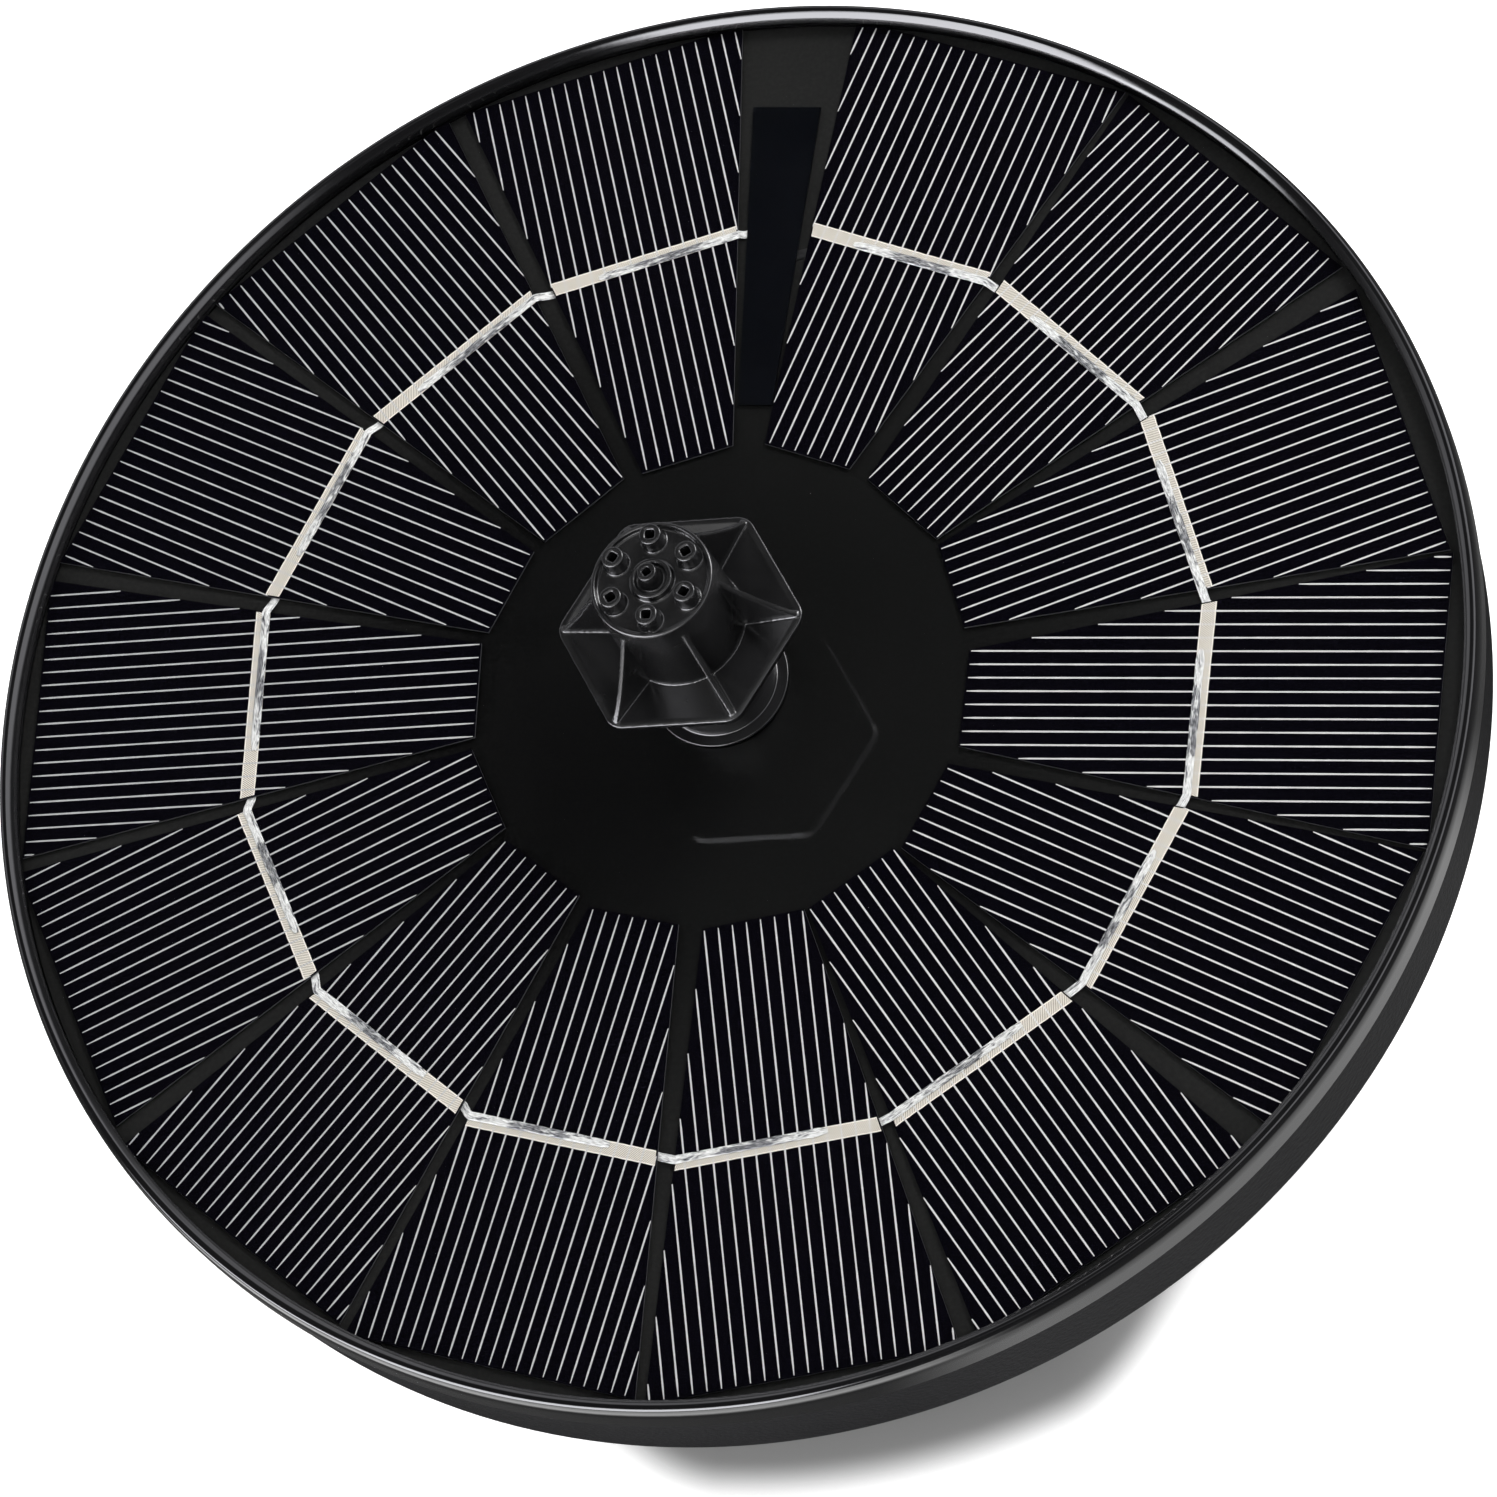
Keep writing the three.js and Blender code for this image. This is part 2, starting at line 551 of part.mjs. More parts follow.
function voluteCover() {
  const plugTopZ = CHAMBER_Z + 0.25;
  const plate = union([
    disc(CHAMBER_R - 0.25, [PLATE_TOP_Z - 0.2, plugTopZ]),
    disc(PLATE_R, PLATE_Z),
    ...channel(RISER_R + CHAMBER_WALL, PLATE_Z),
  ]);
  const body = union([
    cut(plate, [disc(INLET_R, past([PLATE_FOOT_Z, plugTopZ]))]),
    ...[30, 150, 270].map((angle) => bar([1.9, INLET_R + 0.5], 1.2, PLATE_Z, angle)),
    disc(2.5, PLATE_Z, { segments: SMALL_SEG }),
  ]);
  return cut(body, [
    disc(1.95, [PLATE_FOOT_Z + 0.4, plugTopZ + OVER], { segments: SMALL_SEG }),
    disc(1.1, [PLATE_FOOT_Z - OVER, PLATE_TOP_Z], { segments: SMALL_SEG }),
  ]);
}
const bottomBush = () => ring(BUSH_BORE_R, 1.88, [PLATE_FOOT_Z + 0.45, 9.6], SMALL_SEG);

// ---------------------------------------------------------------- intake
const STRAINER_R = 29.5;
const STRAINER_BORE_R = STRAINER_R - 1.6;
const STRAINER_FLOOR = 1.6;
const STRAINER_TOP_Z = 19.2;
const WALL_SLOTS = 24;
const FLOOR_SLOTS = 12;

const spongeFilter = () => disc(27.2, [STRAINER_FLOOR + 0.1, 6.9]);

function strainerCover() {
  const cup = turned([
    [0, 0], [STRAINER_R - 1.0, 0], [STRAINER_R - 0.3, 0.3], [STRAINER_R, 1.0],
    [STRAINER_R, STRAINER_TOP_Z], [STRAINER_BORE_R, STRAINER_TOP_Z],
    [STRAINER_BORE_R, STRAINER_FLOOR], [0, STRAINER_FLOOR],
  ]);
  return cut(cup, [
    ...repeat(WALL_SLOTS, (k) =>
      bar([25, 32], 2.7, [3.4, 14.2], (360 / WALL_SLOTS) * (k + 0.5))),
    ...repeat(FLOOR_SLOTS, (k) =>
      bar([9.5, 21.5], 2.2, past([0, STRAINER_FLOOR]), (360 / FLOOR_SLOTS) * (k + 0.5))),
  ]);
}

// ---------------------------------------------------------------- screws
const SCREW_HEAD_R = 2.75;
const SCREW_HEAD_Z = [18.0, 19.7];
const SCREW_SHANK_R = 1.45;

// Pointed screw, head down, with a cross recess.
function screw([x, y]) {
  const [headFootZ, headTopZ] = SCREW_HEAD_Z;
  const body = union([
    turned([
      [0, headFootZ], [1.9, headFootZ], [SCREW_HEAD_R, headFootZ + 0.7],
      [SCREW_HEAD_R, headTopZ], [0, headTopZ],
    ], 12),
    disc(SCREW_SHANK_R, [headTopZ - 0.2, 28.3], { segments: 10 }),
    disc(SCREW_SHANK_R, [28.2, 29.1], { segments: 10, topRadius: 0.5 }),
  ]);
  const recess = [0, 90].map((turn) =>
    bar([-1.7, 1.7], 0.6, [headFootZ - OVER, headFootZ + 0.9], turn));
  return cut(body, recess).translate([x, y, 0]);
}

// ---------------------------------------------------------------- nozzle stem
const NECK_R = 6.45;
const COLLAR_R = 7.76;
const COLLAR_Z = [PANEL_Z + 0.85, PANEL_Z + 1.28];
const STEM_TOP_Z = PANEL_Z + 14.9;

function nozzleStem() {
  const [footZ, topZ] = COLLAR_Z;
  return turned([
    [5.25, footZ], [7.6, footZ], [COLLAR_R, footZ + 0.12], [COLLAR_R, topZ - 0.12],
    [7.55, topZ], [6.9, topZ + 0.12], [NECK_R, topZ + 0.6],
    [NECK_R, STEM_TOP_Z - 0.35], [NECK_R - 0.35, STEM_TOP_Z], [4.0, STEM_TOP_Z],
    [4.0, STEM_TOP_Z + 3.6], [2.9, STEM_TOP_Z + 3.6],
    [2.9, SPIGOT_TOP_Z + 1.2], [5.25, SPIGOT_TOP_Z + 1.0],
  ]);
}

// ---------------------------------------------------------------- nozzle head
const HEAD_FOOT_Z = PANEL_Z + 15.15;
const HEX_EDGE_Z = PANEL_Z + 15.75;
const HEX_FLOOR_Z = PANEL_Z + 16.05;
const HEX_RIM_Z = PANEL_Z + 17.03;
const HEX_APOTHEM = 12.02;
const HEX_LOWER_APOTHEM = HEX_APOTHEM - 0.25;
const HEX_CORNER_ROUND = 2.2;
const HEX_LIP = 0.35; // rim width round the hollow
const HEX_TURN = -93.99; // direction of one flat of the hexagon, degrees
const TOWER_FOOT_R = 6.95;
const TOWER_TOP_R = 6.71;
const TOWER_TOP_Z = PANEL_Z + 28.06;
const TOWER_RECESS_Z = TOWER_TOP_Z - 0.5;
const RIB_THICK = 0.6;
// rib side view, a slight hollow curve from the tower's rim to a hexagon corner: [radius, z]
const RIB_LINE = [
  [5.5, 63.4], [6.7, 62.4], [7.2, 61.4], [7.9, 60.2], [8.8, 58.8], [9.8, 57.2],
  [10.9, 55.7], [12.0, 54.3], [13.1, 53.05], [13.1, 51.95], [5.5, 51.95],
];
const SPOUT_PITCH_R = 4.63;
const SPOUT_R = 1.2;
const SPOUT_TOP_Z = PANEL_Z + 29.46;
const SPOUT_HOLE = 1.0; // side of the square jet hole
const CENTRE_HOLE = 0.84;
const SPOUT_TURN = 86.85; // direction of the first spout, degrees
const SPOUT_FOOT_Z = TOWER_RECESS_Z - 0.2;
const CENTRE_TOP_Z = PANEL_Z + 30.0;
const JET_Z = [61, CENTRE_TOP_Z + OVER];

// Hexagon with rounded corners.
function hexOutline(apothem, round = HEX_CORNER_ROUND) {
  const cornerR = (apothem - round) / Math.cos(radians(30));
  return repeat(6, (k) => {
    const flat = HEX_TURN + 60 * k;
    const [centreX, centreY] = polar(cornerR, flat + 30);
    return repeat(5, (j) => {
      const [x, y] = polar(round, flat + 15 * j);
      return [centreX + x, centreY + y];
    });
  }).flat();
}

// Circle with its points in the same directions as the hexagon's.
const circleLikeHex = (radius) => hexOutline(HEX_APOTHEM).map((point) =>
  unit(point).map((share) => share * radius));

// Loft between two outlines of the same count, closed with flat ends.
function loft(lower, z0, upper, z1) {
  const count = lower.length;
  const points = [
    ...lower.map((point) => [...point, z0]),
    ...upper.map((point) => [...point, z1]),
    [0, 0, z0],
    [0, 0, z1],
  ];
  const lowCentre = 2 * count;
  const highCentre = lowCentre + 1;
  const index = [];
  for (let i = 0; i < count; i++) {
    const j = (i + 1) % count;
    index.push(i, j, count + j, i, count + j, count + i);
    index.push(lowCentre, j, i, highCentre, count + i, count + j);
  }
  const geometry = new THREE.BufferGeometry();
  geometry.setAttribute('position', new THREE.Float32BufferAttribute(points.flat(), 3));
  geometry.setIndex(index);
  return solid(geometry);
}

function hexFlange() {
  const lowerHex = hexOutline(HEX_LOWER_APOTHEM);
  const hollowHex = hexOutline(HEX_APOTHEM - HEX_LIP, HEX_CORNER_ROUND - HEX_LIP);
  return cut(union([
    loft(lowerHex, HEX_EDGE_Z, hexOutline(HEX_APOTHEM), HEX_RIM_Z),
    // a hair of overlap joins the two lofts
    loft(circleLikeHex(NECK_R), HEX_EDGE_Z - 0.55, lowerHex, HEX_EDGE_Z + 0.001),
  ]), [loft(circleLikeHex(TOWER_FOOT_R), HEX_FLOOR_Z, hollowHex, HEX_RIM_Z + 0.02)]);
}

const rib = (k) => solid(
  new THREE.ExtrudeGeometry(shapeOf(RIB_LINE), { depth: RIB_THICK, bevelEnabled: false })
    .translate(0, 0, -RIB_THICK / 2)
    .rotateX(Math.PI / 2)
    .rotateZ(radians(HEX_TURN + 30 + 60 * k)),
);

const tower = () => turned([
  [0, HEAD_FOOT_Z], [NECK_R - 0.3, HEAD_FOOT_Z], [NECK_R, HEAD_FOOT_Z + 0.3],
  [TOWER_FOOT_R, HEX_FLOOR_Z - 0.2], [TOWER_TOP_R, TOWER_TOP_Z - 0.2],
  [TOWER_TOP_R - 0.15, TOWER_TOP_Z], [TOWER_TOP_R - 0.45, TOWER_TOP_Z],
  [TOWER_TOP_R - 0.6, TOWER_RECESS_Z], [0, TOWER_RECESS_Z],
]);

// Low collar round the centre spout.
const centreCollar = () => cut(
  disc(2.35, [SPOUT_FOOT_Z, TOWER_TOP_Z + 0.35], { segments: 20 }),
  [disc(1.75, [TOWER_TOP_Z - 0.25, CENTRE_TOP_Z], { segments: 20 })],
);

const squareHole = (side, turn) => bar([-side / 2, side / 2], side, JET_Z, turn);

function nozzleHead() {
  const angles = repeat(6, (k) => SPOUT_TURN - 60 * k);
  const spouts = angles.map((angle) => disc(SPOUT_R + 0.12, [SPOUT_FOOT_Z, SPOUT_TOP_Z], {
    at: polar(SPOUT_PITCH_R, angle), segments: 14, topRadius: SPOUT_R,
  }));
  const jets = angles.map((angle) =>
    squareHole(SPOUT_HOLE, angle + 90).translate([...polar(SPOUT_PITCH_R, angle), 0]));
  return cut(union([
    hexFlange(),
    ...repeat(6, rib),
    tower(),
    ...spouts,
    centreCollar(),
    disc(1.25, [TOWER_TOP_Z - 0.6, CENTRE_TOP_Z], { segments: 14, topRadius: 1.05 }),
  ]), [
    disc(4.25, [HEAD_FOOT_Z - OVER, 55.2]),
    disc(5.5, [55.1, 62.1]),
    ...jets,
    squareHole(CENTRE_HOLE, 30),
  ]);
}

// ---------------------------------------------------------------- assembly
const object = new THREE.Group();
object.name = 'solar_fountain_pump';

function put(name, body, material) {
  const { vertProperties, triVerts } = body.getMesh();
  const geometry = new THREE.BufferGeometry();
  geometry.setAttribute('position', new THREE.Float32BufferAttribute(vertProperties, 3));
  geometry.setIndex(new THREE.Uint32BufferAttribute(triVerts, 1));
  geometry.computeVertexNormals();
  const mesh = new THREE.Mesh(geometry, new THREE.MeshStandardMaterial(material));
  mesh.name = name;
  object.add(mesh);
}
const twoDigits = (k) => String(k + 1).padStart(2, '0');

FRAMES.forEach((cell, k) => put(`cell_${twoDigits(k)}`, solarCell(cell), MATERIALS.cell));
FRAMES.forEach((cell, k) =>
  put(`ribbon_${twoDigits(k)}`, ribbon(cell, FRAMES[k + 1]), MATERIALS.ribbon));
put('gap_strip', gapStrip(), MATERIALS.gapStrip);
LEADS.forEach((spec) => put(spec.name, lead(spec), spec.material));
put('panel_board', panelBoard(), MATERIALS.panelBoard);
put('clear_cover', clearCover(), MATERIALS.clearCover);
put('panel_frame', panelFrame(), MATERIALS.glossyShell);
put('hull_bowl', hullBowl(), MATERIALS.texturedShell);
put('pump_housing', pumpHousing(), MATERIALS.housing);
put('outlet_duct', outletDuct(), MATERIALS.housing);
put('outlet_seal', outletSeal(), MATERIALS.rubber);
put('housing_seal', housingSeal(), MATERIALS.rubber);
put('stator_core', statorCore(), MATERIALS.statorSteel);
POLE_ANGLES.forEach((angle, k) => put(`coil_${k + 1}`, coil(angle), MATERIALS.copper));
put('controller_board', controllerBoard(), MATERIALS.controller);
put('shaft', shaft(), MATERIALS.shaft);
put('top_bush', topBush(), MATERIALS.bush);
put('rotor_magnet', rotorMagnet(), MATERIALS.magnet);
put('impeller', impeller(), MATERIALS.impeller);
put('volute_cover', voluteCover(), MATERIALS.voluteCover);
put('bottom_bush', bottomBush(), MATERIALS.bush);
put('sponge_filter', spongeFilter(), MATERIALS.sponge);
put('strainer_cover', strainerCover(), MATERIALS.strainer);
SCREW_PLACES.forEach((place, k) => put(`screw_${k + 1}`, screw(place), MATERIALS.screw));
put('nozzle_stem', nozzleStem(), MATERIALS.nozzleStem);
put('nozzle_head', nozzleHead(), MATERIALS.nozzleHead);

export default object;
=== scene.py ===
"""Floating solar fountain pump: a round raft with 14 solar cells, a nozzle and a pump.

The raft is centred on the Z axis: strainer from z = 0 at the bottom, nozzle on top, front at -Y.
Geometry is written in millimetres and scaled to metres when a piece is finished. Materials,
lights and camera see metres; material sizes and depths given to Graph helpers are millimetres.
"""

import math
import random

import bmesh
import bpy
import numpy as np
from mathutils import Matrix, Vector


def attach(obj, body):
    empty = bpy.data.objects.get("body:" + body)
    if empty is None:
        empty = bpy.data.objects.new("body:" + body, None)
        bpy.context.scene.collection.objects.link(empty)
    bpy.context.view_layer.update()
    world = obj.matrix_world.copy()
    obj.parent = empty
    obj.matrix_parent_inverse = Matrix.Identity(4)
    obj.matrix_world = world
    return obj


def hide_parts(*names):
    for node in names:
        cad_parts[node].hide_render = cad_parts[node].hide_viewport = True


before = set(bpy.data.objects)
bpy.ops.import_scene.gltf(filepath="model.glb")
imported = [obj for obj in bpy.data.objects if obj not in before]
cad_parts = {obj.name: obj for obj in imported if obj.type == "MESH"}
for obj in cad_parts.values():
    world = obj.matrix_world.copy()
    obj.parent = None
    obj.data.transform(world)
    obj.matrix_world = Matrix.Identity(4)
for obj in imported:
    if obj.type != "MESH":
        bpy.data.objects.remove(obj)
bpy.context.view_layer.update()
scene = bpy.context.scene
rng = random.Random(11)
MM = 0.001


def polar(radius, degrees):
    angle = math.radians(degrees)
    return (radius * math.cos(angle), radius * math.sin(angle))


# ------------------------------------------------------------------ shared sizes (mm)
CELL_Z = 36.0  # top of the cells
BOARD_Z0, BOARD_Z1 = 34.15, 35.5
COVER_Z0, COVER_Z1, COVER_R = 36.28, 36.6, 82.0
BOARD_HOLE_R = 7.1
CELL_LENGTH = 52.0
CELL_CORNER_R = 81.75
FINGER_WIDTH = 0.188
BUSBAR_HALF = 0.83
# cut: half width at the inner end, half width at the outer end, number of fingers
CELL_CUTS = {"A": (5.3, 16.85, 21), "B": (5.65, 17.0, 22)}
# centre-line direction (degrees), sideways offset, radius of the middle, cut,
# finger pitch, finger phase
CELLS = [
    (64.67, 2.23, 54.18, "A", 1.583, 0.0), (41.94, -0.08, 53.65, "B", 1.588, 0.0),
    (14.45, 1.59, 53.15, "A", 1.579, 0.0), (-7.89, -1.39, 53.36, "B", 1.570, 0.0),
    (-30.83, -3.36, 53.9, "A", 1.564, 0.09), (-58.71, -0.88, 54.23, "B", 1.563, 0.0),
    (-85.2, 0.66, 54.11, "B", 1.567, 0.0), (-108.28, -1.69, 53.82, "A", 1.564, 0.0),
    (-132.57, -2.33, 53.87, "B", 1.567, 0.0), (-158.74, -1.50, 54.07, "A", 1.573, 0.0),
    (176.05, -1.25, 54.05, "B", 1.585, 0.0), (150.21, -0.75, 54.17, "A", 1.588, 0.0),
    (125.24, -0.84, 54.2, "B", 1.586, 0.0), (100.39, -1.50, 54.24, "A", 1.583, 0.0),
]
LEAD_HOLES = ((5.3, 52.4), (8.0, 51.6))
SCREW_PLACES = [polar(33.3, 45 + 90 * k) for k in range(4)]
RISER_R, RISER_ANGLE = 20.6, -28.6
RISER = polar(RISER_R, RISER_ANGLE)
RISER_BORE, RISER_WALL = 2.8, 4.3  # inner and outer radius


# ------------------------------------------------------------------ node graphs
class Graph:
    """A node tree being built; every helper returns output sockets."""

    def __init__(self, tree):
        self.tree = tree
        tree.nodes.clear()

    def node(self, kind, inputs=None, **settings):
        """Add a node, set or link its inputs, and return all its outputs."""
        node = self.tree.nodes.new("ShaderNode" + kind)
        for key, value in settings.items():
            setattr(node, key, value)
        for key, value in (inputs or {}).items():
            socket = node.inputs[key]
            if isinstance(value, bpy.types.NodeSocket):
                self.tree.links.new(value, socket)
            elif socket.type == "RGBA":
                socket.default_value = (*value, 1.0)
            else:
                socket.default_value = value
        return node.outputs

    def math(self, operation, first, second=0.0):
        return self.node("Math", {0: first, 1: second}, operation=operation)[0]

    def add(self, first, second):
        return self.math("ADD", first, second)

    def times(self, first, second):
        return self.math("MULTIPLY", first, second)

    def inverse(self, value):
        return self.math("SUBTRACT", 1.0, value)

    def stripes(self, value, pitch):
        return self.math("SINE", self.times(value, 2 * math.pi / pitch))

    def plan_radius(self, x, y):
        return self.math("SQRT", self.add(self.times(x, x), self.times(y, y)))

    def azimuth(self, x, y):
        return self.times(self.math("ARCTAN2", y, x), 57.29578)

    def span(self, value, over, to=(0.0, 1.0), smooth=False):
        """Map the range `over` onto the range `to`, clamped."""
        inputs = dict(enumerate((value, *over, *to)))
        kind = "SMOOTHSTEP" if smooth else "LINEAR"
        return self.node("MapRange", inputs, clamp=True, interpolation_type=kind)[0]

    def window(self, value, low, high, soft):
        """1 between low and high, fading to 0 over +-soft at both ends."""
        rise = self.span(value, (low - soft, low + soft), smooth=True)
        fall = self.span(value, (high - soft, high + soft), to=(1.0, 0.0), smooth=True)
        return self.times(rise, fall)

    def xyz(self, vector):
        return self.node("SeparateXYZ", {0: vector})

    def mix_shader(self, factor, first, second):
        return self.node("MixShader", {0: factor, 1: first, 2: second})[0]


class Mat(Graph):
    """The graph of one material, with its texture coordinates."""

    def __init__(self, name):
        self.material = bpy.data.materials.new(name)
        self.material.use_nodes = True
        super().__init__(self.material.node_tree)
        self.output = self.tree.nodes.new("ShaderNodeOutputMaterial")
        coordinates = self.node("TexCoord")
        self.place = coordinates["Object"]
        self.uv = coordinates["UV"]

    def noise(self, size, detail=3.0, rough=0.55, vector=None):
        inputs = {
            "Vector": vector or self.place, "Scale": 1.0 / (size * MM),
            "Detail": detail, "Roughness": rough, "Distortion": 0.0,
        }
        return self.node("TexNoise", inputs)["Fac"]

    def drift(self, size, to, detail=3.0):
        """Noise spread over the range `to`, for slow changes in roughness."""
        return self.span(self.noise(size, detail), over=(0.3, 0.7), to=to)

    def cells(self, size):
        inputs = {"Vector": self.place, "Scale": 1.0 / (size * MM)}
        return self.node("TexVoronoi", inputs, feature="F1")["Distance"]

    def mix(self, factor, first, second):
        inputs = {0: factor, 6: first, 7: second}
        return self.node("Mix", inputs, data_type="RGBA", blend_type="MIX")[2]

    def bump(self, height, depth, strength=1.0, **normal):
        inputs = {"Height": height, "Distance": depth * MM, "Strength": strength, **normal}
        return self.node("Bump", inputs)[0]

    def principled(self, colour, rough, normal, metal=0.0, specular=0.5, more=None):
        inputs = {
            "Base Color": colour, "Roughness": rough, "Metallic": metal,
            "Specular IOR Level": specular, "Normal": normal, **(more or {}),
        }
        return self.node("BsdfPrincipled", inputs)[0]

    def show(self, shader):
        self.tree.links.new(shader, self.output.inputs["Surface"])

    def surface(self, *args, **kwargs):
        self.show(self.principled(*args, **kwargs))


def grey(level):
    return (level, level, level)


def scaled(colour, factor):
    return tuple(x * factor for x in colour)


# ------------------------------------------------------------------ materials
# Each function fills the material that carries its name.
def solar_cell(mat):
    speck = mat.noise(size=0.16, detail=2, rough=0.8)
    crystal = mat.noise(size=6.5, rough=0.5)
    tone = mat.mix(crystal, (0.0005, 0.0004, 0.0018), (0.0012, 0.0009, 0.0019))
    tone = mat.mix(mat.span(speck, over=(0.50, 0.74)), tone, (0.0085, 0.0080, 0.0125))
    # the side faces of each wafer are painted light grey: bare silicon plus a painted edge
    # highlight, a thin line round each cell
    up = mat.xyz(mat.node("NewGeometry")["Normal"])[2]
    tone = mat.mix(mat.span(up, over=(0.35, 0.6)), (0.085, 0.085, 0.092), tone)
    rough = mat.drift(size=1.2, to=(0.32, 0.42))
    mat.surface(tone, rough, mat.bump(speck, depth=0.004), specular=0.02)


def printed_silver(mat):
    """Screen-printed finger paste, uneven in tone, with painted shade that dims it towards -X.
    """
    # painted shade: the paste goes from its dim copy at -X to its lit copy at +X
    side = mat.span(mat.xyz(mat.place)[0], over=(-0.055, 0.020))
    dim = mat.mix(mat.noise(size=1.4), (0.38, 0.38, 0.39), (0.55, 0.55, 0.56))
    lit = mat.mix(mat.noise(size=1.4), (0.54, 0.53, 0.53), (0.76, 0.74, 0.74))
    normal = mat.bump(mat.noise(size=0.12), depth=0.012)
    mat.surface(mat.mix(side, dim, lit), 0.55, normal, specular=0.3)


def printed_busbar(mat):
    """Wide printed band, UV in mm: solid edges with diagonal print-screen marks between."""
    along, across, _ = mat.xyz(mat.uv)
    diagonal = mat.add(mat.times(along, 4.2), mat.times(across, 3.0))
    hatch = mat.span(mat.stripes(diagonal, pitch=1.0), over=(-0.35, 0.75))
    from_middle = mat.math("ABSOLUTE", across)
    edge = mat.span(from_middle, over=(BUSBAR_HALF - 0.17, BUSBAR_HALF - 0.10))
    blotch = mat.noise(size=1.1)
    dark = mat.mix(blotch, (0.30, 0.27, 0.22), (0.42, 0.38, 0.32))
    light = mat.mix(blotch, (0.80, 0.74, 0.66), (0.96, 0.91, 0.84))
    tone = mat.mix(mat.math("MAXIMUM", hatch, edge), dark, light)
    height = mat.add(mat.times(hatch, 0.5), mat.noise(size=0.2))
    mat.surface(tone, 0.6, mat.bump(height, depth=0.012), specular=0.3)


def tinned_ribbon(mat):
    """Solder-dipped strip: bright runs, a painted reflection laid in as a light diffuse colour,
    and dull, drawn-out patches.

    UV is mm along the ribbon from its start and 0..1 across it.
    """
    shift = mat.times(mat.node("ObjectInfo")["Random"], 37.0)
    along, across, _ = mat.xyz(mat.uv)

    def drawn_noise(stretch, scale, detail, rough, distortion):
        x = mat.add(mat.times(along, stretch[0]), shift)
        vector = mat.node("CombineXYZ", {0: x, 1: mat.times(across, stretch[1])})[0]
        inputs = {
            "Vector": vector, "Scale": scale, "Detail": detail,
            "Roughness": rough, "Distortion": distortion,
        }
        return mat.node("TexNoise", inputs)["Fac"]

    patch = drawn_noise((0.55, 2.2), scale=1.0, detail=4.0, rough=0.62, distortion=0.7)
    # dull in the middle of the run, bright near the two ends
    rise = mat.span(along, over=(3.2, 6.0), smooth=True)
    fall = mat.span(along, over=(11.2, 12.8), to=(1.0, 0.0), smooth=True)
    middle = mat.times(rise, fall)
    dulled = mat.add(patch, mat.times(middle, 0.14))
    mask = mat.span(dulled, over=(0.50, 0.66), smooth=True)
    streak = drawn_noise((0.9, 7.0), scale=1.6, detail=3.0, rough=0.6, distortion=0.0)
    shine = mat.span(streak, over=(0.38, 0.58))
    # painted reflection: the bright runs are a light diffuse colour with little metal
    bright = mat.mix(shine, (0.52, 0.51, 0.50), (0.98, 0.98, 0.97))
    shine = mat.span(streak, over=(0.42, 0.60))
    dull = mat.mix(shine, (0.035, 0.037, 0.043), (0.40, 0.40, 0.42))
    height = mat.add(mat.times(streak, 0.5), patch)
    mat.surface(
        mat.mix(mask, bright, dull),
        mat.span(mask, over=(0.0, 1.0), to=(0.42, 0.30)),
        mat.bump(height, depth=0.10, strength=0.8),
        metal=mat.span(mask, over=(0.0, 1.0), to=(0.10, 0.25)),
    )


def panel_backing(mat):
    """Black backing film: greyer and dustier towards the rim than round the nozzle, with a
    painted nozzle shadow that darkens it towards -X near the middle.
    """
    x, y, _ = mat.xyz(mat.place)
    outer = mat.span(mat.plan_radius(x, y), over=(0.022, 0.070), smooth=True)
    slow = mat.noise(size=21, detail=4)
    weave = mat.noise(size=0.5)
    near = mat.mix(slow, (0.0040, 0.0041, 0.0040), (0.0066, 0.0067, 0.0064))
    far = mat.mix(slow, (0.0105, 0.0105, 0.0103), (0.0180, 0.0179, 0.0174))
    # painted shadow of the nozzle: near the middle the film goes darker towards -X
    near = mat.mix(mat.span(x, over=(-0.032, 0.006)), grey(0.0012), near)
    dust = mat.mix(outer, grey(0.009), (0.025, 0.025, 0.024))
    dusty = mat.times(mat.span(weave, over=(0.4, 0.75)), 0.5)
    tone = mat.mix(dusty, mat.mix(outer, near, far), dust)
    rough = mat.drift(size=8, to=(0.48, 0.60))
    mat.surface(tone, rough, mat.bump(weave, depth=0.012), specular=0.04)


def clear_laminate(mat):
    """Clear sheet over the cells: see-through, a thin mirror reflection, faintly wavy."""
    wave = mat.bump(mat.noise(size=13, detail=2), depth=0.010)
    wave = mat.bump(mat.noise(size=2.2, detail=2), depth=0.0015, Normal=wave)
    fresnel = mat.node("Fresnel", {"IOR": 1.47, "Normal": wave})[0]
    tint = mat.mix(mat.noise(size=30, detail=2), (0.955, 0.962, 0.965), (0.985, 0.985, 0.982))
    through = mat.node("BsdfTransparent", {"Color": tint})[0]
    rough = mat.drift(size=6, to=(0.03, 0.07))
    gloss = mat.node("BsdfGlossy", {"Color": grey(1.0), "Roughness": rough, "Normal": wave})[0]
    front_side = mat.inverse(mat.node("NewGeometry")["Backfacing"])
    mat.show(mat.mix_shader(mat.times(fresnel, front_side), through, gloss))


def gloss_black_plastic(mat):
    tone = mat.mix(mat.noise(size=14), (0.0045, 0.0045, 0.005), (0.0085, 0.0085, 0.009))
    rough = mat.drift(size=5, detail=4, to=(0.075, 0.12))
    mat.surface(tone, rough, mat.bump(mat.noise(size=1.6, detail=2), depth=0.006))


